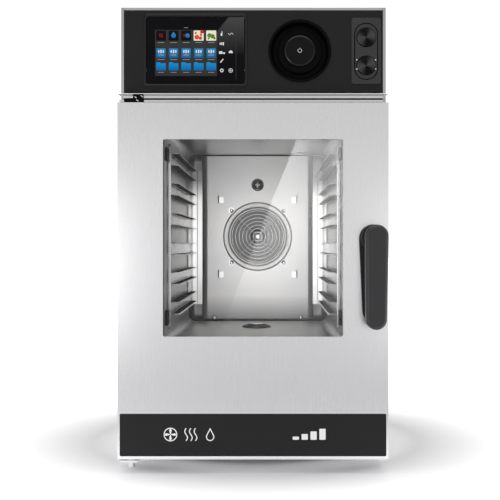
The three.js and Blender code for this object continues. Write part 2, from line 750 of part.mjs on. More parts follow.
function makeHandleBase() {
  const back = DOOR_FACE - GAP;
  const outline = uprightBar({ u: 230.2, v: 450.5, radius: 27.3 }, { u: 232, v: 313, radius: 23 });
  const plate = push(outline, 'y', [back - 3.4, back], 9);
  const boss = rod('y', 25.5, [231, SPINDLE_Z], [HANDLE_FACE + HANDLE_THICKNESS + GAP, back], 24);
  const hole = rod('y', SPINDLE_RADIUS + 1, [SPINDLE_X, SPINDLE_Z], [-380, back + 1], 16);
  return plate.add(boss).subtract(hole);
}

function makeHandleLever() {
  const top = { u: 233, v: 455, radius: 21.8 };
  const bottom = { u: 232, v: 299.2, radius: 19.6 };
  const bevel = 3;
  const geometry = new THREE.ExtrudeGeometry(uprightBar(top, bottom), {
    depth: HANDLE_THICKNESS - 2 * bevel,
    bevelThickness: bevel,
    bevelSize: bevel,
    bevelOffset: -bevel,
    bevelSegments: 1,
    curveSegments: 8,
  });
  geometry.applyMatrix4(ALONG.y([HANDLE_FACE + bevel, HANDLE_FACE + HANDLE_THICKNESS - bevel]));
  const socket = rod('y', SPINDLE_RADIUS + GAP, [SPINDLE_X, SPINDLE_Z], [-384, -370], 16);
  return toSolid(geometry).subtract(socket);
}

function makeSpindle() {
  return rod('y', SPINDLE_RADIUS, [SPINDLE_X, SPINDLE_Z], [-383.7, -301.3], 16);
}

// The hook's far corner stays nearer to the spindle than the strike's arm, so it turns past it.
function makeLatchHook() {
  const depth = [-301, -295];
  const reach = 14;
  const claw = 11;
  const hub = rod('y', 9, [SPINDLE_X, SPINDLE_Z], depth, 16);
  const right = SPINDLE_X - 1;
  const low = SPINDLE_Z - reach;
  const finger = slab([SPINDLE_X - 9, right], depth, [low, SPINDLE_Z]);
  const tip = slab([SPINDLE_X - claw, right], depth, [low, low + 5]);
  return join([hub, finger, tip]);
}

function makeStrike() {
  const front = CAVITY_FRONT;
  const height = spread(SLOT.z, 2);
  const arm = [SLOT.x[0] - 4, SLOT.x[0] - 2];
  return join([
    slab([arm[0] - 10, arm[1]], [front, front + 2], height),
    slab(arm, [front, STRIKE_NOSE + 2], height),
    slab([arm[0], arm[0] + 14], [STRIKE_NOSE, STRIKE_NOSE + 2], height),
  ]);
}

function makeUpperHinge() {
  const front = VISOR.nose + 1;
  const height = [DOOR_TOP + 2, VISOR.low - 1.1];
  const plate = slab([HINGE_X - 11, HINGE_X + 23], [front, BODY_FRONT - GAP], height);
  const lug = slab([HINGE_X + 4, HINGE_X + 17], [front, front + 8], [height[1] - 0.2, height[1] + 5.6]);
  const pin = rod('z', PIN_RADIUS, [HINGE_X, HINGE_Y], [DOOR_TOP - 13.6, DOOR_TOP + 2.4], 16);
  return join([plate, lug, pin]);
}

function makeLowerHinge() {
  const width = [HINGE_X - 23, HINGE_X + 37];
  const plate = slab(width, [VISOR.nose + 1, ARM_BACK], [20.5, 26]);
  const pad = slab(width, [BODY_FRONT + 5, ARM_BACK], [25.5, BODY_BOTTOM - GAP]);
  const pin = rod('z', PIN_RADIUS, [HINGE_X, HINGE_Y], [25.5, DOOR_BOTTOM + 14], 16);
  const nut = rod('z', 8, [HINGE_X, HINGE_Y], [10.6, 21], 6);
  return join([plate, pad, pin, nut]);
}

// --------------------------------------------------------------------------- interior

function makeRack(side) {
  const across = (near, far) => (side > 0 ? [near, far] : [-far, -near]);
  const frontPost = slab(across(RACK.web - 0.5, RACK.wall), [RACK_FRONT, RACK_FRONT + 15], POST_HEIGHTS);
  const backPost = slab(across(RACK.web - 0.5, RACK.wall), [RACK_BACK - 15, RACK_BACK], STOP_HEIGHTS);
  const stop = slab(across(RACK.stop, RACK.wall), [RACK_BACK - 1, RACK_BACK + 1.5], STOP_HEIGHTS);
  const guides = [];
  for (let level = 0; level < TRAY_LEVELS; level += 1) {
    const low = FIRST_TRAY + level * TRAY_PITCH;
    const high = low + GUIDE_HEIGHT;
    const { lip, web } = RACK;
    const outline = [
      [lip, low - SHEET], [web, low - SHEET], [web, high + SHEET], [lip, high + SHEET],
      [lip, high], [web - SHEET, high], [web - SHEET, low], [lip, low],
    ].map(([x, z]) => [side * x, z]);
    guides.push(push(polygon(outline), 'y', [RACK_FRONT + 3, RACK_BACK]));
  }
  const slots = RACK_PIN_HEIGHTS.flatMap((z) => RACK_PIN_DEPTHS.map((y) => slab(
    across(RACK.web, RACK.wall + 1),
    [y - 3.5, y + 3.5],
    [z - 3.5 - RACK_LIFT, z + 3.4],
  )));
  return cut(join([frontPost, backPost, stop, ...guides]), slots);
}

// ----------------------------------------------------------------- rear and electrics

function makeInletValve() {
  const stub = rod('y', INLET_RADIUS, [0, 0], [300, REAR_REACH], 20);
  const body = slab([-18, 18], [318, 360], [-18, 22]);
  const coil = rod('z', 13, [0, 339], [20, 50], 20);
  const bore = rod('y', 9, [0, 0], [370, REAR_REACH + 1], 20);
  return join([stub, body, coil]).subtract(bore);
}

function makeCableGland() {
  const profile = [
    [6, 362], [13, 362], [13, 370], [GLAND_NECK, 370], [GLAND_NECK, BODY_BACK + GAP], [14, BODY_BACK + GAP],
    [14, BODY_BACK + 9], [10, BODY_BACK + 19], [6, BODY_BACK + 19], [6, 362],
  ];
  return turned(profile, 20);
}

function makeCoolingHousing() {
  const half = 40;
  const span = [350.5, 376];
  const frame = slab([-half, half], span, [-half, half]);
  const throat = rod('y', 37.6, [0, 0], [span[0] - 1, span[1] + 1], 20);
  const hub = rod('y', 13, [0, 0], [372.5, span[1]], 12);
  const struts = [0, 60, 120].map((angle) => slab([-39, 39], [373, span[1]], [-2, 2], turnAboutY(angle)));
  return frame.subtract(throat).add(join([hub, ...struts]));
}

function makeCoolingRotor() {
  const hub = rod('y', 13, [0, 0], [352, 371.5], 14);
  const bladeCount = 7;
  const blades = [];
  for (let index = 0; index < bladeCount; index += 1) {
    const moves = [turnAboutZ(38), shift(0, 362, 0), turnAboutY(index * 360 / bladeCount)];
    blades.push(slab([-9, 9], [-0.9, 0.9], [11, 35.5], ...moves));
  }
  return join([hub, ...blades]);
}

// --------------------------------------------------------------------------- assembly

const casing = group(oven);
piece(casing, 'base_tray', makeBaseTray(), STEEL);
piece(casing, 'side_panel_left', makeSidePanel(-1), STEEL);
piece(casing, 'side_panel_right', makeSidePanel(1), STEEL);
piece(casing, 'top_cover', makeTopCover(), STEEL);
piece(casing, 'back_panel', makeBackPanel(), STEEL);
piece(casing, 'front_frame', makeFrontFrame(), STEEL);
piece(casing, 'visor_lip', makeVisorLip(), STEEL);
piece(casing, 'cavity_shell', makeCavityShell(), CAVITY_STEEL);
piece(casing, 'cavity_gasket', makeGasket(), SILICONE);
piece(casing, 'insulation_blanket', makeInsulation(), ROCKWOOL);
piece(casing, 'drain_pipe', makeDrainPipe(), GREY_PLASTIC);
piece(casing, 'chimney_pipe', makeChimney(), STEEL);
piece(casing, 'upper_hinge_bracket', makeUpperHinge(), DARK_METAL);
piece(casing, 'lower_hinge_bracket', makeLowerHinge(), POLISHED);
piece(casing, 'latch_strike', makeStrike(), POLISHED);
const footNames = ['foot_front_left', 'foot_front_right', 'foot_back_left', 'foot_back_right'];
footPlaces().forEach(([x, y], index) => {
  piece(casing, footNames[index], makeFoot(), BLACK_PLASTIC, [x, y, 0]);
});

const airflow = group(casing);
piece(airflow, 'fan_baffle', makeBaffle(), CAVITY_STEEL);
piece(airflow, 'fan_guard', makeFanGuard(), POLISHED);
piece(airflow, 'fan_motor', makeFanMotor(), MOTOR_PAINT, [0, 0, FAN_Z]);
piece(airflow, 'fan_wheel', makeFanWheel(), CAVITY_STEEL);
piece(airflow, 'fan_shaft', rod('y', SHAFT_RADIUS, [0, FAN_Z], [280, 360], 20), POLISHED);
piece(airflow, 'heating_element', makeHeater(), DARK_METAL, [0, 0, FAN_Z]);
piece(airflow, 'spray_nozzle', makeNozzle(), DARK_METAL, [0, 0, NOZZLE_Z]);
piece(airflow, 'vent_flap', makeVentFlap(), POLISHED, [CHIMNEY_X, CHIMNEY_Y, FLAP_Z]);
['baffle_knob_left', 'baffle_knob_right'].forEach((name, index) => {
  const place = [BAFFLE_KNOBS[index], BAFFLE_FACE, BAFFLE_KNOB_Z];
  piece(airflow, name, makeBaffleKnob(), DARK_METAL, place);
});

const interior = group(casing);
piece(interior, 'rack_left', makeRack(-1), POLISHED);
piece(interior, 'rack_right', makeRack(1), POLISHED);
piece(interior, 'drain_strainer', makeStrainer(), POLISHED, [0, DRAIN_Y, 0]);

const services = group(casing);
piece(services, 'water_inlet_valve', makeInletValve(), BRASS, [INLET_X, 0, INLET_Z]);
piece(services, 'cable_gland', makeCableGland(), BLACK_PLASTIC, [GLAND_X, 0, GLAND_Z]);
piece(services, 'cooling_fan_housing', makeCoolingHousing(), BLACK_PLASTIC, [COOLING_X, 0, COOLING_Z]);
piece(services, 'cooling_fan_rotor', makeCoolingRotor(), GREY_PLASTIC, [COOLING_X, 0, COOLING_Z]);

const panel = group(casing);
piece(panel, 'control_fascia', makeFascia(), BLACK_PLASTIC);
piece(panel, 'display_bezel', makeBezel(), GREY_PLASTIC);
piece(panel, 'display_module', makeDisplay(), SCREEN_GLASS);
piece(panel, 'control_board', makeControlBoard(), CIRCUIT_GREEN);
piece(panel, 'port_plate', makePortPlate(), GREY_PLASTIC);
piece(panel, 'port_cap_upper', makePortCap(), DARK_METAL, [PORT_X, 0, PORT_HEIGHTS[0]]);
piece(panel, 'port_cap_lower', makePortCap(), DARK_METAL, [PORT_X, 0, PORT_HEIGHTS[1]]);

const selector = group(panel);
selector.position.set(KNOB_X, 0, KNOB_Z);
piece(selector, 'knob_bowl', makeKnobBowl(), BLACK_PLASTIC);
piece(selector, 'encoder_body', makeEncoderBody(), BLACK_PLASTIC);
piece(selector, 'encoder_shaft', makeEncoderShaft(), POLISHED);
piece(selector, 'control_knob', makeKnob(), BLACK_PLASTIC);

const door = group(oven);
piece(door, 'door_outer_skin', makeDoorSkin(), STEEL);
piece(door, 'door_outer_glass', makeOuterGlass(), CLEAR_GLASS);
piece(door, 'door_inner_frame', makeInnerFrame(), STEEL);
piece(door, 'door_inner_glass', makeInnerGlass(), CLEAR_GLASS);
piece(door, 'door_trim_strip', makeTrimStrip(), BLACK_PLASTIC);
piece(door, 'door_hinge_bush_upper', makeHingeBush([696, DOOR_TOP - SHEET - GAP]), BRASS);
piece(door, 'door_hinge_bush_lower', makeHingeBush([DOOR_BOTTOM + SHEET + GAP, 44]), BRASS);
piece(door, 'door_lamp_strip', makeLampStrip(), LAMP);
piece(door, 'handle_base', makeHandleBase(), GREY_PLASTIC);

const handle = group(door);
piece(handle, 'handle_lever', makeHandleLever(), GREY_PLASTIC);
piece(handle, 'latch_spindle', makeSpindle(), POLISHED);
piece(handle, 'latch_hook', makeLatchHook(), POLISHED);

export default oven;
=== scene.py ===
"""The looks of a combi steamer oven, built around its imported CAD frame.

Lengths are millimetres in the frame's own axes (the front faces -Y, up is +Z). They become
metres when a mesh is made. Angles are degrees. An outline is a list of flat points (u, v):
(x, z) when its depth runs along Y, (y, z) along X and (x, y) along Z.
"""
import math
from types import SimpleNamespace

import bmesh
import bpy
from mathutils import Matrix, Vector


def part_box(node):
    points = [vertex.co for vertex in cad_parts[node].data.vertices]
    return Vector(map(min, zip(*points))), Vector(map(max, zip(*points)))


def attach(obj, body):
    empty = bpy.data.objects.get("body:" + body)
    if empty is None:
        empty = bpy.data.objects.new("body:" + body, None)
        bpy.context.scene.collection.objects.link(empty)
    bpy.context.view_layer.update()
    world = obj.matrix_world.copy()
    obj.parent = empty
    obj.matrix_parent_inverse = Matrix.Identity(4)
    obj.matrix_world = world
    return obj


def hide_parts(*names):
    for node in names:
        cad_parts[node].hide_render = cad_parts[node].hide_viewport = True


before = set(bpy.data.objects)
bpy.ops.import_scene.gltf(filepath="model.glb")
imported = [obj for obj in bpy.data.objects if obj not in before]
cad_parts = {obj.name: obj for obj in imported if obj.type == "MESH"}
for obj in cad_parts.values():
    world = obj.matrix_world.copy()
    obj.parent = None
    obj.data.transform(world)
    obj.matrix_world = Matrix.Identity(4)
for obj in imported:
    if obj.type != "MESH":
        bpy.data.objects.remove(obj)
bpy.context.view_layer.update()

MM = 0.001
SHARP = 32  # edges that turn by more than this stay crisp


# ------------------------------------------------------------------------------ frame


def extent(node):
    """The span of a CAD node on each axis, its middle, and half its width."""
    low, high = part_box(node)
    x, y, z = ((low[i] / MM, high[i] / MM) for i in range(3))
    middles = {"cx": sum(x) / 2, "cy": sum(y) / 2, "cz": sum(z) / 2}
    return SimpleNamespace(x=x, y=y, z=z, half=(x[1] - x[0]) / 2, **middles)


SCREEN = extent("display_module")
BEZEL = extent("display_bezel")
KNOB = extent("control_knob")
BOWL = extent("knob_bowl")
PORTS = extent("port_plate")
SHELL = extent("cavity_shell")
BAFFLE = extent("fan_baffle")
GUARD = extent("fan_guard")
NOZZLE = extent("spray_nozzle")
WHEEL = extent("fan_wheel")
BACK = extent("back_panel")


# ----------------------------------------------------------------------------- outlines


def around(middle, half):
    return (middle - half, middle + half)


def grown(span, by):
    return (span[0] - by, span[1] + by)


def arc(u, v, radius, start, stop, steps=8):
    """Points on an arc, both ends included."""
    turns = (math.radians(start + (stop - start) * i / steps) for i in range(steps + 1))
    return [(u + radius * math.cos(t), v + radius * math.sin(t)) for t in turns]


def disc(u, v, radius, sides=64):
    return arc(u, v, radius, 0, 360, sides)[:-1]


def box_outline(u, v, radius=0.0, steps=6):
    """A rectangle over the spans u and v, with round corners."""
    if radius == 0:
        return [(u[0], v[0]), (u[1], v[0]), (u[1], v[1]), (u[0], v[1])]
    inner_u, inner_v = grown(u, -radius), grown(v, -radius)
    corners = ((1, 1, 0), (0, 1, 90), (0, 0, 180), (1, 0, 270))
    return [
        point
        for i, j, start in corners
        for point in arc(inner_u[i], inner_v[j], radius, start, start + 90, steps)
    ]


def bar_outline(top, bottom, inset=0.0, steps=28):
    """Two upright circles (u, v, radius) and their outer tangents."""
    rise = math.hypot(top[0] - bottom[0], top[1] - bottom[1])
    lean = math.degrees(math.atan2(top[1] - bottom[1], top[0] - bottom[0]))
    half = math.degrees(math.acos((bottom[2] - top[2]) / rise))
    upper = arc(top[0], top[1], top[2] - inset, lean - half, lean + half, steps)
    lower = arc(bottom[0], bottom[1], bottom[2] - inset, lean + half, lean + 360 - half, steps)
    return upper + lower


def bent(points, radius, steps=6):
    """A path through points, in two or three dimensions, with its corners rounded."""
    points = [Vector(point) for point in points]
    path = [points[0]]
    for before, corner, after in zip(points, points[1:], points[2:]):
        start = corner + (before - corner).normalized() * radius
        end = corner + (after - corner).normalized() * radius
        for i in range(steps + 1):
            t = i / steps
            path.append(start * (1 - t) ** 2 + corner * 2 * t * (1 - t) + end * t * t)
    return path + [points[-1]]


def band(path, thickness):
    """The outline of a strip of even thickness along a flat path."""
    path = [Vector(point) for point in path]
    left, right = [], []
    for i, point in enumerate(path):
        along = (path[min(i + 1, len(path) - 1)] - path[max(i - 1, 0)]).normalized()
        side = Vector((-along.y, along.x)) * thickness / 2
        left.append(tuple(point + side))
        right.append(tuple(point - side))
    return left + right[::-1]


def folded(points, radius, thickness, steps=6):
    """The outline of sheet metal folded at the points between the first and the last."""
    return band(bent(points, radius, steps), thickness)


# ------------------------------------------------------------------------------ shapes

# How a flat outline (u, v) and its depth w sit in the frame, by the axis of the depth.
PLACE = {
    "x": Matrix(((0, 0, 1, 0), (1, 0, 0, 0), (0, 1, 0, 0), (0, 0, 0, 1))),
    "y": Matrix(((1, 0, 0, 0), (0, 0, 1, 0), (0, 1, 0, 0), (0, 0, 0, 1))),
    "z": Matrix.Identity(4),
}


def tidy_up(shape):
    bmesh.ops.remove_doubles(shape, verts=shape.verts, dist=0.0005)
    bmesh.ops.recalc_face_normals(shape, faces=shape.faces)
    return shape


def moved(shape, matrix):
    bmesh.ops.transform(shape, matrix=matrix, verts=shape.verts)
    return shape


def new_curve(dimensions, points, closed):
    curve = bpy.data.curves.new("outline", "CURVE")
    curve.dimensions = dimensions
    for path in points:
        spline = curve.splines.new("POLY")
        spline.points.add(len(path) - 1)
        spline.use_cyclic_u = closed
        for point, place in zip(spline.points, path):
            point.co = (*place, 1)
    return curve


def from_curve(curve):
    holder = bpy.data.objects.new("outline", curve)
    mesh = bpy.data.meshes.new_from_object(holder)
    shape = bmesh.new()
    shape.from_mesh(mesh)
    bpy.data.objects.remove(holder)
    bpy.data.curves.remove(curve)
    bpy.data.meshes.remove(mesh)
    return shape


def plate(outlines, span, edge=0.0, axis="y"):
    """Flat stock across span: the first outline is its edge and the rest are holes."""
    curve = new_curve("2D", [[(u, v, 0) for u, v in outline] for outline in outlines], True)
    curve.fill_mode = "BOTH"
    curve.extrude = (span[1] - span[0]) / 2 - edge
    curve.bevel_depth = edge
    curve.bevel_resolution = 2
    curve.offset = -edge
    place = PLACE[axis] @ Matrix.Translation((0, 0, sum(span) / 2))
    return tidy_up(moved(from_curve(curve), place))


def tube(points, radius, closed=False, roundness=3):
    curve = new_curve("3D", [points], closed)
    curve.bevel_depth = radius
    curve.bevel_resolution = roundness
    curve.use_fill_caps = True
    return tidy_up(from_curve(curve))


def stack(levels, axis="y", caps=True):
    """Outlines with equal numbers of points, given as (depth, outline), joined in order.

    Without caps, the last one is joined to the first.
    """
    shape = bmesh.new()
    loops = [[shape.verts.new((u, v, depth)) for u, v in outline] for depth, outline in levels]
    if caps:
        shape.faces.new(loops[0])
        shape.faces.new(loops[-1])
    else:
        loops.append(loops[0])
    for low, high in zip(loops, loops[1:]):
        for i in range(len(low)):
            j = (i + 1) % len(low)
            shape.faces.new((low[i], low[j], high[j], high[i]))
    return tidy_up(moved(shape, PLACE[axis]))


def lathe(profile, centre, axis="y", sides=72):
    """A profile of (radius, depth) turned about an axis through centre, given as (u, v)."""
    hollow = profile[0][0] > 0.01
    levels = [(depth, disc(*centre, max(radius, 0.0001), sides)) for radius, depth in profile]
    return stack(levels, axis, caps=not hollow)


def past(start, *profile):
    """Points (radius, depth) of a profile whose depths are counted from start."""
    return [(radius, start + depth) for radius, depth in profile]


def rod(radius, span, centre, axis="y", sides=72, bore=0):
    """A plain round bar, or a ring with a bore, over a span of its axis."""
    front, back = span
    return lathe([(bore, front), (radius, front), (radius, back), (bore, back)], centre, axis, sides)


def block(x, y, z, edge=0.5):
    shape = bmesh.new()
    bmesh.ops.create_cube(shape, size=1)
    size = Matrix.Diagonal((x[1] - x[0], y[1] - y[0], z[1] - z[0], 1))
    moved(shape, Matrix.Translation((sum(x) / 2, sum(y) / 2, sum(z) / 2)) @ size)
    if edge:
        bmesh.ops.bevel(shape, geom=shape.edges[:], offset=edge, segments=2, affect="EDGES", profile=0.5)
    return shape


def turned(shape, degrees, axis, centre):
    """The shape turned about an axis through centre, given as (x, y, z)."""
    out, back = Matrix.Translation(centre), Matrix.Translation(-Vector(centre))
    return moved(shape, out @ Matrix.Rotation(math.radians(degrees), 4, axis.upper()) @ back)


def mirrored(shape):
    moved(shape, Matrix.Diagonal((-1, 1, 1, 1)))
    bmesh.ops.reverse_faces(shape, faces=shape.faces)
    return shape


def painted(shape, index, chosen=lambda normal: True):
    """Gives a material to the faces whose normal is chosen."""
    shape.normal_update()
    for face in shape.faces:
        if chosen(face.normal):
            face.material_index = index
    return shape


def as_mesh(shape):
    mesh = bpy.data.meshes.new("part")
    shape.to_mesh(mesh)
    shape.free()
    return mesh


def cut(shape, tools):
    """The shape with the tools taken away."""
    objects = [bpy.data.objects.new("cut", as_mesh(each)) for each in (shape, *tools)]
    for obj in objects:
        bpy.context.scene.collection.objects.link(obj)
    for cutter in objects[1:]:
        modifier = objects[0].modifiers.new("cut", "BOOLEAN")
        modifier.object = cutter
        modifier.solver = "EXACT"
    view = bpy.context.evaluated_depsgraph_get()
    result = bmesh.new()
    result.from_mesh(objects[0].evaluated_get(view).to_mesh())
    for spent in objects:
        bpy.data.objects.remove(spent)
    return result


def screw(centre, depth, radius, axis="y", toward=-1):
    """A domed screw head with a socket, standing out of a face at depth."""
    rise = toward * radius * 0.55
    # radius as a share of the head's, and height as a share of its rise
    profile = ((1, 0), (0.96, 0.45), (0.8, 0.85), (0.5, 1), (0.42, 0.98), (0.4, 0.3))
    return stack([(depth + rise * up, disc(*centre, radius * out, 24)) for out, up in profile], axis)


def piece(name, shapes, materials, body, slot, *replaced, sharp=SHARP):
    """One finished piece: shapes joined in a mesh that rides on a body."""
    whole = bmesh.new()
    for shape in shapes:
        part = as_mesh(shape)
        whole.from_mesh(part)
        bpy.data.meshes.remove(part)
    bmesh.ops.scale(whole, vec=(MM, MM, MM), verts=whole.verts)
    mesh = bpy.data.meshes.new(name)
    whole.to_mesh(mesh)
    whole.free()
    for face in mesh.polygons:
        face.use_smooth = True
    mesh.set_sharp_from_angle(angle=math.radians(sharp))
    for material in materials if isinstance(materials, list) else [materials]:
        mesh.materials.append(material)
    obj = bpy.data.objects.new(name, mesh)
    bpy.context.scene.collection.objects.link(obj)
    obj.modifiers.new("flat_faces_stay_flat", "WEIGHTED_NORMAL").keep_sharp = True
    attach(obj, body)
    if replaced:
        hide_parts(*replaced)


def dress(material, edge, *nodes):
    """CAD nodes that keep their shape get a finish and soft edges."""
    for node in nodes:
        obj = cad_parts[node]
        obj.data.materials.clear()
        obj.data.materials.append(material)
        obj.modifiers.new("weld", "WELD").merge_threshold = 0.00001
        bevel = obj.modifiers.new("edges", "BEVEL")
        bevel.width = edge * MM
        bevel.segments = 2
        bevel.limit_method = "ANGLE"
        bevel.angle_limit = math.radians(40)
        bevel.harden_normals = False


# --------------------------------------------------------------------------- materials


class Nodes:
    """A node tree that is written in short calls."""

    def __init__(self, tree, coordinates="Object"):
        self.tree = tree
        self.where = self.node("TexCoord").outputs[coordinates]

    def join(self, socket, value):
        if isinstance(value, bpy.types.NodeSocket):
            self.tree.links.new(value, socket)
        else:
            socket.default_value = value

    def node(self, kind, inputs=(), **settings):
        node = self.tree.nodes.new("ShaderNode" + kind)
        for key, value in settings.items():
            setattr(node, key, value)
        for key, value in dict(inputs).items():
            self.join(node.inputs[key], value)
        return node

    def coordinate(self, axis, vector=None):
        """One coordinate of a vector, by default of the place on the object."""
        return self.node("SeparateXYZ", {0: vector or self.where}).outputs[axis]

    def maths(self, operation, *values):
        return self.node("Math", dict(enumerate(values)), operation=operation).outputs[0]

    def add(self, first, second, weight=1.0):
        return self.maths("MULTIPLY_ADD", second, weight, first)

    def remap(self, value, low, high, start=0.3, stop=0.7):
        """Runs from low to high while the value runs from start to stop."""
        inputs = {"Value": value, "From Min": start, "From Max": stop, "To Min": low, "To Max": high}
        return self.node("MapRange", inputs).outputs[0]

    def scaled(self, stretch):
        return self.node("Mapping", {"Vector": self.where, "Scale": stretch}).outputs[0]

    def noise(self, scale, stretch=(1, 1, 1), detail=3.0, roughness=0.55):
        inputs = {"Vector": self.scaled(stretch), "Scale": scale, "Detail": detail, "Roughness": roughness}
        return self.node("TexNoise", inputs).outputs["Fac"]

    def cells(self, scale, feature="F1"):
        inputs = {"Vector": self.where, "Scale": scale}
        return self.node("TexVoronoi", inputs, feature=feature).outputs["Distance"]

    def mix(self, factor, first, second):
        """A blend of two colours, each three numbers or a socket."""
        node = self.node("Mix", data_type="RGBA")
        sockets = {socket.identifier: socket for socket in node.inputs}
        self.join(sockets["Factor_Float"], factor)
        for name, colour in (("A_Color", first), ("B_Color", second)):
            self.join(sockets[name], (*colour, 1) if isinstance(colour, tuple) else colour)
        return next(socket for socket in node.outputs if socket.identifier == "Result_Color")


class Finish(Nodes):
    """A Principled material; a keyword such as Metallic sets the shader's own socket."""

    def __init__(self, name, colour, **sockets):
        self.material = bpy.data.materials.new(name)
        self.material.use_nodes = True
        super().__init__(self.material.node_tree)
        self.shader = self.tree.nodes["Principled BSDF"]
        self.put("Base Color", (*colour, 1))
        for socket, value in sockets.items():
            self.put(socket.replace("_", " "), value)

    def put(self, socket, value):
        self.join(self.shader.inputs[socket], value)

    def bump(self, height, distance, strength=1.0):
        """Relief from a height between 0 and 1; distance is its full depth in millimetres."""
        inputs = {"Height": height, "Distance": distance * MM, "Strength": strength}
        self.put("Normal", self.node("Bump", inputs).outputs[0])


def grey(value):
    return (value, value, value * 1.01)


def mottled(name, dark, light, cloud, roughness, relief=None, fade=(0.3, 0.7), **sockets):
    """A finish whose colour, and roughness if given as a pair, vary with one noise.

    The relief is (noise, depth, strength); without a noise of its own it follows the cloud.
    """
    finish = Finish(name, dark, **sockets)
    pattern = finish.noise(**cloud)
    finish.put("Base Color", finish.mix(finish.remap(pattern, 0, 1, *fade), dark, light))
    if roughness:
        finish.put("Roughness", finish.remap(pattern, *roughness))
    if relief:
        grain, depth, strength = relief
        finish.bump(finish.noise(**grain) if grain else pattern, depth, strength)
    return finish.material


def bright_steel(name="electropolished_steel", tone=0.78, roughness=0.13):
    """Polished wire and sheet with a little orange peel and wear."""
    wear = {"scale": 30.0, "detail": 5.0, "roughness": 0.7}
    peel = ({"scale": 240.0, "detail": 2.0}, 0.03, 0.25)
    shine = (roughness - 0.03, roughness + 0.1)
    return mottled(name, grey(tone - 0.07), grey(tone), wear, shine, peel, Metallic=1.0)


def brushed_steel(name, tone, roughness, stretch, marks=0.002, flank_shade=None):
    """Satin stainless sheet: fine streaks along the grain, with faint broad smudges.

    The faces that look sideways take the darker side tone, if one is given: painted shade on the sides.
    """
    finish = Finish(name, grey(tone), Metallic=1.0)
    streaks = finish.noise(1.0, stretch, detail=4.0, roughness=0.6)
    both = finish.add(streaks, finish.noise(6.0, detail=2.0), 0.35)
    finish.put("Roughness", finish.remap(both, roughness - 0.01, roughness + 0.012, 0.45, 0.95))
    sheet = finish.mix(finish.remap(streaks, 0, 1), grey(tone - marks), grey(tone + marks / 2))
    if flank_shade:
        normal = finish.node("NewGeometry").outputs["Normal"]
        sideways = finish.maths("ABSOLUTE", finish.coordinate("X", normal))
        sheet = finish.mix(finish.remap(sideways, 0, 1, 0.8, 0.95), sheet, grey(flank_shade))
    finish.put("Base Color", sheet)
    finish.bump(streaks, 0.001, 0.05)
    return finish.material


def annealed_steel(name, tone, roughness, shade=None):
    """Bright annealed sheet with rolling lines and a trace of heat tint.

    If shade is given, it turns dark from its second height to its first: painted shade.
    """
    finish = Finish(name, grey(tone), Metallic=1.0)
    rolling = finish.noise(1.0, (1400, 4, 1400))
    clouds = finish.noise(5.0, detail=4.0, roughness=0.6)
    both = finish.add(rolling, clouds, 0.8)
    finish.put("Roughness", finish.remap(both, roughness, roughness + 0.05, 0.6, 1.1))
    sheet = finish.mix(finish.remap(clouds, 0, 1), (tone, tone * 0.985, tone * 0.96), grey(tone))
    if shade:
        clear = finish.remap(finish.coordinate("Z"), 0, 1, shade[0] * MM, shade[1] * MM)
        sheet = finish.mix(clear, grey(tone * 0.3), sheet)
    finish.put("Base Color", sheet)
    finish.bump(rolling, 0.003, 0.1)
    return finish.material


def plastic(name, tone, roughness, specular=0.4, grain=900.0, depth=0.03):
    """Moulded plastic with a spark-eroded grain and slight shine on the high spots."""
    finish = Finish(name, tone, Metallic=0.0, Specular_IOR_Level=specular)
    fine = finish.noise(grain, detail=2.0)
    broad = finish.noise(14.0)
    lighter = tuple(min(c * 1.18 + 0.002, 1) for c in tone)
    high = finish.remap(finish.add(fine, broad, 0.5), 0, 1, 0.5, 1.0)
    finish.put("Base Color", finish.mix(high, tone, lighter))
    finish.put("Roughness", finish.remap(broad, roughness - 0.04, roughness + 0.05))
    finish.bump(fine, depth, 0.5)
    return finish.material


def coated_metal(name, tone, roughness):
    """Dark coated metal with fine specks."""
    finish = Finish(name, tone, Metallic=0.55, Specular_IOR_Level=0.4)
    specks = finish.noise(420.0)
    lighter = tuple(c * 1.5 + 0.01 for c in tone)
    finish.put("Base Color", finish.mix(finish.remap(specks, 0, 1, 0.45, 0.75), tone, lighter))
    finish.put("Roughness", finish.remap(finish.noise(60.0), roughness - 0.05, roughness + 0.08))
    finish.bump(specks, 0.02, 0.4)
    return finish.material


def turned_metal(name, centre, roughness=0.3):
    """Dark metal faced on a lathe: a painted highlight fans out round the centre, given as (x, z), on top of
    the gloss of its radial grain.
    """
    finish = Finish(name, (0.03, 0.03, 0.03), Metallic=0.8, Anisotropic=0.7)
    finish.put("Tangent", finish.node("Tangent", direction_type="RADIAL", axis="Y").outputs[0])
    flat = finish.node("CombineXYZ", {"X": finish.coordinate("X"), "Y": finish.coordinate("Z")})
    origin = (-centre[0] * MM, -centre[1] * MM, 0)
    place = finish.node("Mapping", {"Vector": flat.outputs[0], "Location": origin})
    turn = finish.node("TexGradient", {"Vector": place.outputs[0]}, gradient_type="RADIAL").outputs["Fac"]
    fan = finish.maths("SINE", finish.maths("MULTIPLY_ADD", turn, 4 * math.pi, 0.9))
    painted_sheen = finish.remap(fan, 0, 1, -0.7, 1.3)
    rings = finish.noise(900.0, detail=2.0)
    finish.put("Base Color", finish.mix(painted_sheen, (0.004, 0.004, 0.004), (0.09, 0.088, 0.082)))
    finish.put("Roughness", finish.remap(rings, roughness - 0.03, roughness + 0.05))
    return finish.material


def clear_glass(name, reflection):
    """A thin toughened pane: see-through from the front, glossier at a glance."""
    finish = Finish(name, (1, 1, 1), Metallic=1.0)
    facing = finish.node("LayerWeight", {"Blend": 0.12}).outputs["Fresnel"]
    smear = finish.noise(9.0, (1, 1, 0.4))
    mirror = finish.remap(smear, reflection * 0.97, reflection * 1.03)
    finish.put("Alpha", finish.add(mirror, facing, 0.5))
    finish.put("Roughness", finish.remap(smear, 0.012, 0.03))
    return finish.material


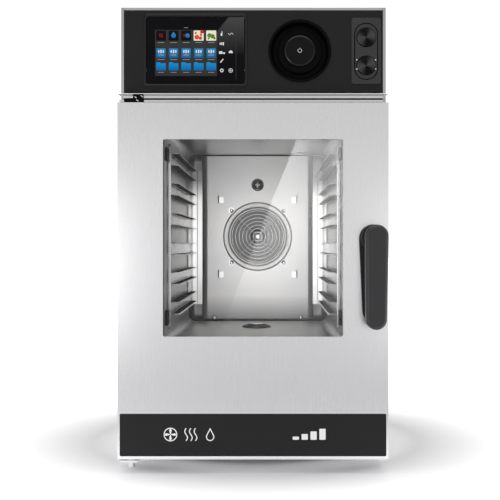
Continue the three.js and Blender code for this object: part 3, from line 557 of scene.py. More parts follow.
def lit(name, top, bottom, low, high, mottle=0.0):
    """A glowing element of the display, shading from bottom to top between two heights."""
    finish = Finish(name, (0.0, 0.0, 0.0), Roughness=0.12, Specular_IOR_Level=0.07, Emission_Strength=1.0)
    glow = finish.mix(finish.remap(finish.coordinate("Z"), 0, 1, low * MM, high * MM), bottom, top)
    if mottle:
        glow = finish.mix(finish.remap(finish.cells(mottle), 0, 1, 0.1, 0.6), glow, bottom)
    finish.put("Emission Color", glow)
    return finish.material


def circuit_board():
    """Green lacquer over tracks, with spots of solder."""
    finish = Finish("circuit_board", (0.03, 0.16, 0.08), Specular_IOR_Level=0.5)
    pads = finish.cells(260.0)
    mask = finish.remap(finish.cells(130.0, "DISTANCE_TO_EDGE"), 1, 0, 0.02, 0.06)
    green = finish.mix(mask, (0.02, 0.13, 0.06), (0.05, 0.26, 0.13))
    finish.put("Base Color", finish.mix(finish.remap(pads, 1, 0, 0.12, 0.2), green, (0.6, 0.6, 0.55)))
    finish.put("Roughness", finish.remap(pads, 0.3, 0.5))
    finish.bump(mask, 0.05, 0.4)
    return finish.material


UPRIGHT, ACROSS = (2600, 2600, 12), (12, 2600, 2600)  # ways that the grain runs
STEEL = brushed_steel("satin_steel", 0.84, 0.27, UPRIGHT)
# Painted shade: a darker copy of the satin steel for the side panels and the visor's end gussets, darker
# still on faces that look sideways.
SHADED_SIDE_STEEL = brushed_steel("satin_steel_side_painted_shade", 0.55, 0.29, UPRIGHT, flank_shade=0.4)
FRAME_STEEL = brushed_steel("satin_steel_frame", 0.5, 0.3, UPRIGHT)
# Painted shade: a darker copy of the satin steel for the top cover and the vent pipe.
SHADED_TOP_STEEL = brushed_steel("satin_steel_top_painted_shade", 0.62, 0.29, (2600, 12, 2600))
BACK_STEEL = brushed_steel("satin_steel_back", 0.4, 0.33, (12, 12, 2600), marks=0.015)
# Painted shade: a darker copy of the visor steel for the visor's downward slope.
SLOPE_SHADE_STEEL = brushed_steel("satin_steel_visor_slope_painted_shade", 0.32, 0.3, ACROSS)
VISOR_STEEL = brushed_steel("satin_steel_visor", 0.8, 0.3, ACROSS)
BRIGHT = bright_steel()
RACK_STEEL = bright_steel("rack_steel", 0.7, 0.2)
# Painted highlight: a lighter copy of the bright steel for the guard's wires and the racks' front wires and
# tips.
LIT_GUARD_WIRE = bright_steel("guard_wire_painted_highlight", 0.95, 0.1)
LINING = annealed_steel("cavity_steel", 0.55, 0.3)
# Painted light: a lighter, rougher copy of the lining steel for the cavity's upward faces.
LIT_LINING_FLOOR = annealed_steel("cavity_floor_steel_painted_light", 0.86, 0.42)
# Painted shade: the baffle darkens towards its foot.
BAFFLE_STEEL = annealed_steel("baffle_steel", 0.84, 0.34, shade=(250, 312))
# Painted shade: the rack stops darken towards their top.
STOP_STEEL = annealed_steel("rack_stop_steel", 0.88, 0.26, shade=(600, 550))
GUARD_STEEL = annealed_steel("guard_steel", 0.72, 0.36)
# Painted shade: a dark copy of the annealed steel for the fan wheel behind the guard.
SHADED_WHEEL_STEEL = annealed_steel("wheel_steel_painted_shade", 0.2, 0.32)
# Painted shade: a darker copy of the lining steel for the fan chamber behind the baffle.
SHADED_CHAMBER = annealed_steel("fan_chamber_steel_painted_shade", 0.45, 0.4)
# Painted highlight: a lighter copy of the annealed steel for the baffle's tabs and the fan's blades.
LIT_TAB_STEEL = annealed_steel("tab_steel_painted_highlight", 0.98, 0.22)
BALL = annealed_steel("nozzle_ball", 0.42, 0.14)
# Painted shade: the strainer dome, the baffle's bends and the guides' level faces lie in shade deep in the
# oven, so they are plain dark matt finishes that hardly mirror anything. The black after them is that of real
# black parts, and also fills gaps where there is only shadow.
STRAINER_SHADE = plastic("strainer_dome_painted_shade", (0.03, 0.03, 0.031), 0.4, 0.05)
BEND_SHADE = plastic("baffle_bend_painted_shade", (0.3, 0.3, 0.3), 0.45, 0.3)
BLACK_PARTS_AND_GAP_SHADE = plastic("black_parts_and_gap_shade", (0.005, 0.005, 0.005), 0.6, 0.02)
# Painted shade for the guides' level faces, darker on the left rack than on the right.
RACK_SHADE = {
    "left": plastic("rack_underside_painted_shade_left", (0.004, 0.004, 0.004), 0.6, 0.0),
    "right": plastic("rack_underside_painted_shade_right", (0.07, 0.07, 0.07), 0.6, 0.0),
}
PANEL_BLACK = plastic("panel_black", (0.0105, 0.0105, 0.0115), 0.42, 0.22, 1400.0, 0.012)
PORT_GREY = plastic("port_grey", (0.033, 0.033, 0.035), 0.4, 0.35, 1200.0, 0.015)
BEZEL_GLOSS = plastic("bezel_gloss", (0.0015, 0.0015, 0.002), 0.1, 0.42, 900.0, 0.004)
CHARCOAL = plastic("charcoal_plastic", (0.024, 0.024, 0.026), 0.4, 0.4, 1100.0)
CHARCOAL_DARK = plastic("charcoal_plastic_dark", (0.012, 0.012, 0.013), 0.5, 0.3, 1100.0)
KNOB_BLACK = plastic("knob_black", (0.0045, 0.0045, 0.0052), 0.3, 0.12, 1300.0, 0.012)
KNOB_EDGE = plastic("knob_edge", (0.006, 0.006, 0.007), 0.24, 0.3, 1300.0, 0.01)
WELL_BLACK = plastic("knob_well_black", (0.0012, 0.0012, 0.0014), 0.3, 0.06, 1300.0, 0.012)
SYMBOL_WHITE = plastic("symbol_white", (0.85, 0.85, 0.85), 0.5, depth=0.005)
COATED = coated_metal("black_coated_metal", (0.02, 0.02, 0.021), 0.35)
ELEMENT = coated_metal("heater_sheath", (0.05, 0.045, 0.042), 0.45)
PAINT = coated_metal("motor_paint", (0.12, 0.125, 0.135), 0.5)
RUBBER = mottled(
    "silicone_seal", grey(0.012), grey(0.035), {"scale": 25.0, "detail": 5.0, "roughness": 0.7},
    (0.5, 0.72), ({"scale": 500.0}, 0.02, 0.4), (0.5, 0.8), Specular_IOR_Level=0.25)
WOOL = mottled(
    "mineral_wool", (0.36, 0.28, 0.12), (0.66, 0.56, 0.33),
    {"scale": 60.0, "stretch": (1, 6, 1), "detail": 8.0, "roughness": 0.75},
    None, (None, 1.2, 0.8), Roughness=0.95, Specular_IOR_Level=0.1)
BRASS = mottled(
    "machined_brass", (0.5, 0.34, 0.12), (0.72, 0.54, 0.24),
    {"scale": 50.0, "detail": 5.0, "roughness": 0.65}, (0.2, 0.38),
    ({"scale": 700.0, "stretch": (1, 1, 0.1)}, 0.015, 0.4), Metallic=1.0)
SCREEN_GLASS = mottled(
    "touch_screen_glass", (0.003, 0.003, 0.004), (0.005, 0.005, 0.006),
    {"scale": 40.0, "stretch": (1, 1, 0.5), "detail": 4.0, "roughness": 0.65},
    (0.012, 0.03), Specular_IOR_Level=0.07)
LAMP = mottled(
    "lamp_diffuser", (0.82, 0.8, 0.74), (0.95, 0.93, 0.88), {"scale": 800.0, "detail": 2.0},
    None, (None, 0.02, 0.4), Roughness=0.45, Subsurface_Weight=0.2,
    Emission_Color=(1.0, 0.95, 0.85, 1), Emission_Strength=1.2)
PANE_GLASS = clear_glass("door_glass", 0.012)
INNER_PANE = clear_glass("door_inner_glass", 0.004)
CIRCUIT = circuit_board()


# -------------------------------------------------------------------------------- door

HANDLE_TOP, HANDLE_FOOT = (233, 455, 21.8), (232, 299.2, 19.6)  # circles (x, z, radius)
ROSE_TOP, ROSE_FOOT = (230.2, 450.5, 27.3), (232, 313, 23)
FAN_X, STEAM_X, DROP_X, BARS_X = -158, -128, -82, 76  # the signs of the black strip


def door():
    dress(STEEL, 1.1, "door_outer_skin")
    dress(FRAME_STEEL, 0.8, "door_inner_frame")
    dress(PANE_GLASS, 0.4, "door_outer_glass")
    dress(INNER_PANE, 0.4, "door_inner_glass")
    dress(LAMP, 0.8, "door_lamp_strip")
    dress(BRASS, 0.4, "door_hinge_bush_upper", "door_hinge_bush_lower")
    pane = extent("door_outer_glass")
    inner = box_outline(grown(pane.x, -3.4), grown(pane.z, -1.6), 1)
    gasket = plate([box_outline(pane.x, pane.z, 2.5), inner], (pane.y[1] + 0.3, pane.y[1] + 2.6), 0.3)
    piece("pane_gasket", [gasket], RUBBER, "door", "silicone")
    trim_strip()
    handle()


def trim_strip():
    """The black strip at the foot of the door, with plain signs: fan, steam, drop and bars."""
    strip = extent("door_trim_strip")
    body = plate([box_outline(strip.x, strip.z, 2.2)], strip.y, 0.6)
    piece("trim_strip", [body], PANEL_BLACK, "door", "black_plastic", "door_trim_strip")
    face, middle = strip.y[0], strip.cz + 1
    proud = (face - 0.25, face + 0.2)
    signs = [plate([disc(FAN_X, middle, 13), disc(FAN_X, middle, 11.2)], proud)]
    for i in range(4):
        blade = bar_outline((FAN_X, middle + 8.2, 2.4), (FAN_X, middle + 1.5, 0.8), steps=8)
        signs.append(turned(plate([blade], proud), 90 * i, "y", (FAN_X, face, middle)))
    for i in range(3):
        wave = [(STEAM_X + 9 * i + 2.6 * math.sin(t / 12 * math.pi), middle - 12 + t) for t in range(25)]
        signs.append(plate([band(wave, 1.9)], proud))
    drop, hollow = (
        arc(DROP_X, middle - 4.5, radius, 155, 385, 20) + [(DROP_X, middle + tip)]
        for radius, tip in ((8, 13), (6.1, 9))
    )
    signs.append(plate([drop, hollow], proud))
    for i in range(4):
        left = BARS_X + 17 * i
        signs.append(plate([box_outline((left, left + 12), (middle - 10, middle - 4 + 5 * i), 1.2)], proud))
    piece("trim_symbols", signs, SYMBOL_WHITE, "door", "black_plastic")


def handle():
    """The lever, and the rose under it with its boss and screw."""
    lever, base = extent("handle_lever"), extent("handle_base")
    # depth behind the front face, and how far the outline draws in there
    sides = ((29.5, 2.0), (28.7, 0.6), (27.5, 0.0), (7.0, 0.0), (5.6, 0.25), (4.6, 0.9), (1.3, 4.0),
             (0.5, 4.7), (0.12, 5.4), (0.0, 6.4))
    levels = [(lever.y[0] + depth, bar_outline(HANDLE_TOP, HANDLE_FOOT, inset)) for depth, inset in sides]
    piece("door_handle", [stack(levels)], CHARCOAL, "handle", "grey_plastic", "handle_lever", sharp=50)
    wall = base.y[1]
    # distance in front of the door, and how far the outline draws in there
    lip = ((0.0, 0.0), (2.2, 0.0), (3.0, 0.35), (3.4, 1.2))
    rose = stack([(wall - rise, bar_outline(ROSE_TOP, ROSE_FOOT, inset)) for rise, inset in lip])
    boss = past(wall, (0, -3), (25.5, -3), (25.5, -14), (24.9, -14.5), (24.9, -15.5), (25.5, -16),
                (25.5, -18.6))
    boss += past(base.y[0], (24.2, 0), (0, 0))
    shapes = [rose, lathe(boss, (231, 452)), screw((232, 318), wall - 3.4, 4.2)]
    piece("handle_rose", shapes, CHARCOAL_DARK, "door", "grey_plastic", "handle_base", sharp=50)
    dress(BRIGHT, 0.5, "latch_spindle", "latch_hook")


# ------------------------------------------------------------------------ control panel

FACE = SCREEN.y[0]
TILE_X = [-181.1 + 24.6 * i for i in range(5)]  # middles of the five tiles of a row
TOP, MIDDLE, LOW = 848.9, 814.4, 787.7  # heights of the three rows
TOOL_X, SIGN_X = -62, -44.6  # the two columns of tool symbols
PORT_HEIGHTS = (845.5, 790.5)
VISOR_END = 249.5
HINGE_HEAD = (-229.5, -210.5)


def shown(lift):
    """The thickness of an element of the display that stands proud by lift."""
    return (FACE - lift, FACE)


def tile(u, v, width, height, radius, lift=0.15):
    return plate([box_outline(around(u, width / 2), around(v, height / 2), radius, 4)], shown(lift))


def dots(u, v, places, lift=0.15, sides=24):
    """Round dots; each place is an offset from (u, v), and a radius."""
    return [plate([disc(u + du, v + dv, radius, sides)], shown(lift)) for du, dv, radius in places]


def steam(u, v, size):
    """Three small rising waves."""
    shapes = []
    for i in (-1, 0, 1):
        wave = [(u + i * size * 0.32 + size * 0.06 * math.sin(t / 6 * math.pi), v + size * (t / 12 - 0.5))
                for t in range(13)]
        shapes.append(plate([band(wave, size * 0.17)], shown(0.2)))
    return shapes


def glow(name, shapes, finish, top, bottom, low, high, mottle=0.0):
    """A piece of the display, lit from bottom to top between two heights."""
    piece(name, shapes, lit(finish, top, bottom, low, high, mottle), "casing", "screen_glass")


def display():
    """The touch screen, with rows of plain tiles."""
    glass = plate([box_outline(SCREEN.x, SCREEN.z, 3.2)], (FACE, FACE + 5), 0.5)
    back = block(grown(SCREEN.x, -6), (FACE + 5, SCREEN.y[1]), grown(SCREEN.z, -6), 1)
    piece("touch_screen", [glass, painted(back, 1)], [SCREEN_GLASS, CHARCOAL_DARK], "casing", "screen_glass",
          "display_module")
    panel = plate([box_outline((-192.8, -71.3), (769.9, 860.1), 1.2)], (FACE - 0.05, FACE + 0.1))
    glow("screen_panel", [panel], "screen_panel", grey(0.036), grey(0.031), 770, 860)
    blacks = [tile(u, TOP, 19.6, 20, 1.6, 0.1) for u in TILE_X[:3]]
    glow("screen_dark_tiles", blacks, "tile_black", grey(0.006), grey(0.003), 839, 859)
    blues = [tile(u, MIDDLE, 18.2, 18.9, 1.6, 0.1) for u in TILE_X]
    glow("screen_blue_tiles", blues, "tile_blue", (0.012, 0.24, 0.52), (0.005, 0.105, 0.29), 805, 824)
    folders = []
    for u in TILE_X:
        folders.append(tile(u, LOW, 18.9, 14.2, 1.2, 0.1))
        folders.append(tile(u - 5.2, LOW + 7.6, 7.6, 2.6, 0.9, 0.1))
    glow("screen_folders", folders, "folder_blue", (0.01, 0.27, 0.62), (0.004, 0.115, 0.34), 780, 797)
    programmes()
    marks()
    dashes()


def programmes():
    """The top row: heat, steam and both on dark tiles, and two dishes made of discs."""
    dry, wet, both, roast, salad = TILE_X
    reds = [*steam(dry, TOP, 7.5), *steam(both - 2.6, TOP, 6.5)]
    glow("screen_hot_symbols", reds, "symbol_red", (0.3, 0.02, 0.03), (0.13, 0.005, 0.012), 842, 856)
    cools = dots(wet, TOP, ((0, 0, 4.6), (both + 3 - wet, 0, 4.2)), 0.25, 28)
    drop = arc(wet, TOP + 4.16, 1.764, 150, 390, 12) + [(wet, TOP + 7.52)]
    cools.append(plate([drop], shown(0.25)))
    glow("screen_cool_symbols", cools, "symbol_blue", (0.02, 0.27, 0.62), (0.008, 0.1, 0.36), 842, 856)
    pictures = [tile(u, TOP, 19.6, 20, 1.6, 0.1) for u in (roast, salad)]
    glow("screen_picture_tiles", pictures, "tile_cream", (0.9, 0.88, 0.8), (0.8, 0.74, 0.6), 838, 860, 90.0)
    slices = ((-3.5, -3, 4.6), (3.6, -5, 3.4), (4.4, 1.6, 2.4), (-5.6, 5, 2.2))
    glow("screen_roast", dots(roast, TOP, slices), "roast_orange", (0.85, 0.42, 0.08), (0.6, 0.06, 0.02),
         840, 858, 300.0)
    leaves = ((-3.4, 0.4, 4.4), (2.6, -1.4, 4.2), (6.4, -5, 2.4), (-5, -5.8, 1.8))
    glow("screen_salad", dots(salad, TOP, leaves), "salad_green", (0.25, 0.5, 0.06), (0.06, 0.2, 0.02),
         842, 856, 260.0)
    badge = tile(roast + 6.4, TOP + 7.2, 7, 5.8, 1.6)
    glow("screen_badge", [badge], "badge_red", (0.7, 0.02, 0.02), (0.45, 0.01, 0.01), 850, 860)


def marks():
    """White marks: three bars on each blue tile, and two columns of tool symbols."""
    bars = ((-4.4, 5), (0, 6.4), (4.4, 5))
    whites = [tile(u + du, MIDDLE + 3.4, 2.6, height, 0.4, 0.2) for u in TILE_X for du, height in bars]
    gear, pencil, globe = 780.6, 799.5, 780.6
    whites.append(plate([disc(TOOL_X, gear, 3.0, 20), disc(TOOL_X, gear, 1.7, 20)], shown(0.15)))
    for i in range(8):
        whites.append(turned(tile(TOOL_X, gear + 3.3, 1.2, 1.4, 0.3), 45 * i, "y", (TOOL_X, FACE, gear)))
    whites.append(turned(tile(TOOL_X, pencil, 2.0, 9, 0.5), 40, "y", (TOOL_X, FACE, pencil)))
    whites += [tile(-64, 815.6, 7, 5, 0.6), tile(-57.6, 814.6, 3.6, 3.4, 0.6)]
    whites += [tile(-65 + 3 * i, 833, 2.2, 4 + i, 0.4) for i in range(3)]
    whites += [tile(-62.6, 851, 3.4, 5, 1.2), tile(-61.6, 855.4, 1.5, 4, 0.6)]
    cloud = ((-2, 0, 2), (0.6, 1, 2.5), (2.6, -0.4, 1.6))
    whites += dots(SIGN_X, 816.4, cloud, sides=20)
    whites.append(plate([disc(SIGN_X, globe, 4.2, 28), disc(SIGN_X, globe, 3.4, 28)], shown(0.15)))
    whites += [tile(SIGN_X, globe, 0.8, 7.4, 0.3), tile(SIGN_X, globe, 7.4, 0.8, 0.3)]
    wave = [(SIGN_X + x, 852.3 + 1.8 * math.sin(x * 0.8)) for x in range(-5, 6)]
    whites.append(plate([band(wave, 0.8)], shown(0.15)))
    glow("screen_marks", whites, "screen_white", grey(0.75), grey(0.7), 770, 870)


def dashes():
    """Dashes where a display has words, and the line at its right."""
    words = [tile(-132, 864.5, 8, 0.8, 0.3)]
    names = ((TOP - 13.6, 13), (MIDDLE - 12.6, 14), (LOW - 10.8, 12))
    for u in TILE_X:
        words += [tile(u, height, width, 0.9, 0.4) for height, width in names]
        words += [tile(u, MIDDLE - drop, 11, 0.8, 0.3) for drop in (2.4, 4.8)]
    glow("screen_dashes", words, "screen_dash", grey(0.34), grey(0.3), 770, 870)
    line = tile(-34.2, 815, 0.6, 108, 0.25, 0.1)
    glow("screen_divider", [line], "screen_line", grey(0.05), grey(0.05), 760, 870)


def bezel():
    """A half-round gloss ring about the screen."""
    corner, width = 11.0, BEZEL.x[1] - SCREEN.x[1] - 0.5
    front, back = BEZEL.y

    def level(inset, depth):
        return (depth, box_outline(grown(BEZEL.x, -inset), grown(BEZEL.z, -inset), corner - inset, 10))

    section = [level(0, back)]
    for step in range(11):
        turn = math.radians(18 * step)
        depth = back - 0.2 - (back - front - 0.2) * math.sin(turn)
        section.append(level(width / 2 * (1 - math.cos(turn)), depth))
    section.append(level(width, back))
    ring = stack(section, caps=False)
    piece("screen_bezel", [ring], BEZEL_GLOSS, "casing", "grey_plastic", "display_bezel", sharp=60)


def knob():
    """The dial with its power sign, in a round well."""
    centre = (KNOB.cx, KNOB.cz)
    rim, throat = 61.5, 56.0
    front, back = BOWL.y
    well = past(front, (rim, 2.2), (rim, 0.9), (rim - 0.5, 0.2), (rim - 1.6, 0), (rim - 3.2, 0.25),
                (throat + 0.6, 1.4), (throat, 3.2))
    well += past(back, (throat - 0.8, -5), (throat - 4, -2.2), (9, -2), (9, 0), (rim - 2, 0))
    well += past(front, (rim - 2, 2.2))
    bowl = lathe(well, centre, sides=128)
    piece("knob_well", [bowl], WELL_BLACK, "casing", "black_plastic", "knob_bowl", sharp=40)
    face, foot = KNOB.y
    crown, cap, skirt = 27.3, 30.5, 43.0
    core = past(foot, (crown, -6.4), (0, -6.4))
    top = past(face, (0, 0.5), (19, 0.35), (26, 0.1), (crown, 0)) + core
    edge = past(face, (crown, 0), (29.4, 0.9), (30.2, 1.7), (cap, 2.8))
    edge += past(foot, (cap, -7.6), (cap + 0.8, -6.5), (crown, -6.4))
    flare = past(foot, (cap - 0.4, -6.6), (cap + 2, -6.1), (skirt - 2.4, -5.8), (skirt - 1, -5.4),
                 (skirt - 0.2, -4.6), (skirt, -3.6), (skirt - 0.3, -0.4), (skirt - 1, 0), (0, 0))
    painted_profiles = ((top, 0), (edge, 3), (flare, 2))
    shapes = [painted(lathe(profile, centre, sides=128), index) for profile, index in painted_profiles]
    power = plate([band(arc(*centre, 3.7, 125, 415, 30), 0.8)], (face + 0.2, face + 0.6))
    stroke = box_outline(around(KNOB.cx, 0.4), around(KNOB.cz + 3.6, 1.6), 0.3, 4)
    shapes += [painted(power, 1), painted(plate([stroke], (face + 0.2, face + 0.5)), 1)]
    piece("control_dial", shapes, [KNOB_BLACK, SYMBOL_WHITE, WELL_BLACK, KNOB_EDGE], "knob", "black_plastic",
          "control_knob", sharp=40)
    dress(CHARCOAL_DARK, 0.5, "encoder_body")
    dress(BRIGHT, 0.3, "encoder_shaft")


def ports():
    """The port plate, with a slot-shaped field round two wells, and a turned cap in each."""
    face, middle = PORTS.y[0], PORTS.cx
    slot = box_outline(around(middle, 23.4), (762.3, 873.7), 22)
    field = box_outline(around(middle, 21.6), (764.1, 871.9), 20.4)
    wells = [disc(middle, height, 19.2) for height in PORT_HEIGHTS]
    shapes = [
        plate([box_outline(PORTS.x, PORTS.z, 5), slot], (face, face + 2.2), 0.9),
        plate([field, *wells], (face + 0.15, face + 2.2), 0.3),
        painted(plate([slot], (face + 9.5, PORTS.y[1]), 0.4), 1),
        painted(plate([slot, *wells], (face + 1.6, face + 2.6)), 1),
    ]
    for height, well in zip(PORT_HEIGHTS, wells):
        shapes.append(painted(plate([disc(middle, height, 20.4), well], (face + 2, face + 9.6)), 1))
    piece("port_surround", shapes, [PORT_GREY, WELL_BLACK], "casing", "grey_plastic", "port_plate")
    corners = [(x, z) for x in around(middle, 18.4) for z in (801.3, 783.3)]
    lamps = [plate([disc(*corner, 1.3, 20)], (face + 0.05, face + 0.4)) for corner in corners]
    piece("port_dots", lamps, SYMBOL_WHITE, "casing", "grey_plastic")
    for place in ("upper", "lower"):
        node = "port_cap_" + place
        cap = extent(node)
        centre, rim = (cap.cx, cap.cz), cap.half
        front, back = cap.y
        profile = past(front, (0, 2.9), (3, 2.7), (rim - 4.2, 0.5), (rim - 2.4, 0.05), (rim - 1.2, 0),
                       (rim - 0.4, 0.4), (rim, 1.3))
        profile += past(back, (rim, -1), (rim - 1, 0), (0, 0))
        piece(node + "_disc", [lathe(profile, centre, sides=96)], turned_metal(node + "_metal", centre),
              place + "_cap", "dark_metal", node, sharp=40)


def visor():
    """The lip over the door: a folded sheet above a stepped nose, and a drip rail under it."""
    lip = extent("visor_lip")
    nose, wall = lip.y
    rear = nose + 30
    sheet = [(wall, 735), (nose + 0.4, 728.9), (nose, 728.4), (nose + 0.1, 728), (nose + 0.7, 727.8),
             (wall, 727.8)]
    slope = [(wall, 727.7), (nose + 0.9, 727.7), (nose + 3.4, 724.4), (wall, 724.4)]
    step = [(wall, 724.4), (nose + 3.4, 724.4), (nose + 3.4, 720.6), (nose + 3.8, 720.2), (wall, 720.2)]
    rail = [(rear, 716.9), (nose + 2.6, 716.9), (nose + 2.2, 716.5), (nose + 2.2, 713.4), (nose + 2.6, 713),
            (rear, 713)]
    shapes = [plate([sheet], grown(lip.x, -0.05), axis="x")]
    for span in ((-250, -230.5), (HINGE_HEAD[1] + 0.8, VISOR_END)):
        shapes.append(plate([step], span, axis="x"))
        # The slope takes the darker visor steel: painted shade on the face that looks down.
        shapes.append(painted(plate([slope], span, axis="x"), 3))
    for span in ((HINGE_HEAD[1] + 1.5, VISOR_END), (-256.5, -247.5)):
        shapes.append(plate([rail], span, axis="x"))
    # Painted shade: black blocks fill the gap under the step and the gap over the door, where there is only
    # shadow.
    for shaded_gap in ((716.6, 720.5), (711.9, 713.1)):
        shapes.append(painted(block((-249, 249), (nose + 5, rear), shaded_gap, 0), 1))
    for side in (-1, 1):
        gusset = [(250.2 * side, 727.9), (259.2 * side, 727.9), (250.2 * side, 721)]
        shapes.append(painted(stack([(nose + 0.4, gusset), (nose + 2, gusset)]), 2))
    piece("visor", shapes, [VISOR_STEEL, BLACK_PARTS_AND_GAP_SHADE, SHADED_SIDE_STEEL, SLOPE_SHADE_STEEL], "casing", "casing_steel",
          "visor_lip", sharp=15)


def control_panel():
    dress(PANEL_BLACK, 0.4, "control_fascia")
    dress(CIRCUIT, 0.2, "control_board")
    display()
    bezel()
    knob()
    ports()
    visor()


# ------------------------------------------------------------------------------ casing

PIN = (-235.0, -336.0)  # the door hinge, seen from above


def casing():
    dress(SHADED_SIDE_STEEL, 0.9, "side_panel_left", "side_panel_right")
    dress(SHADED_TOP_STEEL, 0.9, "top_cover")
    dress(STEEL, 0.7, "base_tray")
    dress(FRAME_STEEL, 0.6, "front_frame")
    dress(BACK_STEEL, 0.5, "back_panel")
    dress(WOOL, 4, "insulation_blanket")
    dress(BRIGHT, 0.5, "latch_strike")
    panel_screws()
    upper_hinge()
    lower_hinge()
    feet()
    chimney()


def panel_screws():
    """Screws along the edges of the back panel."""
    places = [(x, z) for x in (-246, 246) for z in (50, 260, 470, 680, 885)]
    places += [(x, z) for x in (-120, 0, 120) for z in (44, 890)]
    heads = [screw(place, BACK.y[1], 3.6, toward=1) for place in places]
    piece("back_screws", heads, BRIGHT, "casing", "bright_steel")


def upper_hinge():
    """An arm with the pin, a stop and a bent lug in front, with bolts and small clips."""
    arm = extent("upper_hinge_bracket")
    (left, right), (front, back) = arm.x, arm.y
    lift = 713.8
    outline = bent([(left, back), (left, PIN[1] - 9), (left + 8, front), (right, front), (right, back)], 3, 3)
    near, far = HINGE_HEAD[0], HINGE_HEAD[0] + 10
    lug = folded([(near, 718), (near, 723.4), (far, 723.4), (far, 718)], 2, 1.2)
    shapes = [
        plate([outline], (713.6, 718.4), 0.5, "z"),
        plate([lug], (-349, -341), 0.2),
        block(HINGE_HEAD, (-348.6, -325), (lift, 727.2), 0.8),
        lathe([(0, 698), (3.4, 698), (4, 698.8), (4, 714), (0, 714)], PIN, "z", 32),
    ]
    for x, z in ((-225, 721.8), (-221.6, 715.6), (-213, 723.6)):
        clip = block(around(x, 2.6), (-349.6, -348.4), around(z, 0.9), 0.3)
        shapes.append(painted(turned(clip, 38, "y", (x, -349, z)), 1))
    shapes += [painted(screw((x, -312), lift, 3, "z"), 1) for x in (-238, -221)]
    piece("hinge_upper", shapes, [BLACK_PARTS_AND_GAP_SHADE, BRIGHT], "casing", "dark_metal", "upper_hinge_bracket")


def lower_hinge():
    """A tapered arm on a pad, with the pin, its collar, and the nut under it."""
    arm = extent("lower_hinge_bracket")
    left, right = arm.x
    foot = arm.z[0]
    taper = [(left, -285), (left, -346), (left + 3, arm.y[0]), (-222, arm.y[0]), (right, -330), (right, -250),
             (left, -250)]
    shapes = [
        plate([taper], (20.5, 26), 0.8, "z"),
        block(grown(arm.x, -0.3), (-300, -250), (25, 29.7), 0.6),
        lathe([(0, 25), (4, 25), (4, 41.2), (3.4, 42), (0, 42)], PIN, "z", 32),
        lathe([(0, 25.5), (8.5, 25.5), (8.5, 27), (7.4, 27.6), (0, 27.6)], PIN, "z", 32),
        plate([disc(*PIN, 8, 6)], (foot, 21), 0.7, "z"),
        rod(3.4, (foot + 0.3, 22), PIN, "z", 24),
    ]
    piece("hinge_lower", shapes, BRIGHT, "casing", "bright_steel", "lower_hinge_bracket")


def feet():
    """Levelling feet: a threaded stud, a hexagon to turn it by, and a grooved pad."""
    pad = [(0, 0), (18.5, 0), (20, 1.2), (20, 6), (19, 6.8), (19, 8), (20, 8.8), (19.4, 12), (14, 16),
           (11, 17.5), (11, 20), (0, 20)]
    for node in ("foot_front_left", "foot_front_right", "foot_back_left", "foot_back_right"):
        foot = extent(node)
        centre, top = (foot.cx, foot.cy), foot.z[1]
        thread = [(0, 25)]
        for i in range(12):
            thread += [(5.1, 26 + i * 1.6), (4.4, 26.8 + i * 1.6)]
        thread += [(4.4, top - 0.6), (3.8, top), (0, top)]
        nut = plate([disc(*centre, 10.5, 6)], (20, 26), 0.8, "z")
        shapes = [lathe(pad, centre, "z", 48), painted(nut, 1), painted(lathe(thread, centre, "z", 24), 1)]
        piece(node + "_pad", shapes, [CHARCOAL_DARK, BRIGHT], "casing", "black_plastic", node, sharp=45)


def chimney():
    pipe = extent("chimney_pipe")
    foot, top = pipe.z
    profile = past(top, (19.2, 0), (19.6, 0), (20, -0.4))
    profile += past(foot, (20, 3.4), (21, 2.4), (27.4, 2.2), (28, 1.8), (28, 0), (18.5, 0))
    profile += past(top, (18.5, -0.6))
    shape = lathe(profile, (pipe.cx, pipe.cy), "z", 64)
    piece("vent_pipe", [shape], SHADED_TOP_STEEL, "casing", "casing_steel", "chimney_pipe", sharp=45)
    dress(BRIGHT, 0.3, "vent_flap")


# ------------------------------------------------------------------------------ cavity

LINING_CORNER, LINING_SHEET = 18.0, 1.5
SEAM = BAFFLE.y[0] + 3  # depth behind the baffle past which the lining is drawn darker, as painted shade
FAN_CENTRE = (0, GUARD.cz)
GUARD_BULGE = 1.4  # how far the wires of the guard rise at its middle
LUG_REACH = 94
SLIT = (99.7, 94.5)  # how far the tab slits of the baffle stand from the fan's middle
BAFFLE_HALF = 129.6
FASTENER = (110, 254.5)
STRAINER_DECK = 247.2
FIRST_TRAY, TRAY_PITCH, TRAY_LEVELS, GUIDE_GAP = 300, 60, 6, 22
RACK_LIP, RACK_WEB, RACK_WALL, RACK_STOP = 151.0, 168.0, 173.7, 139.0


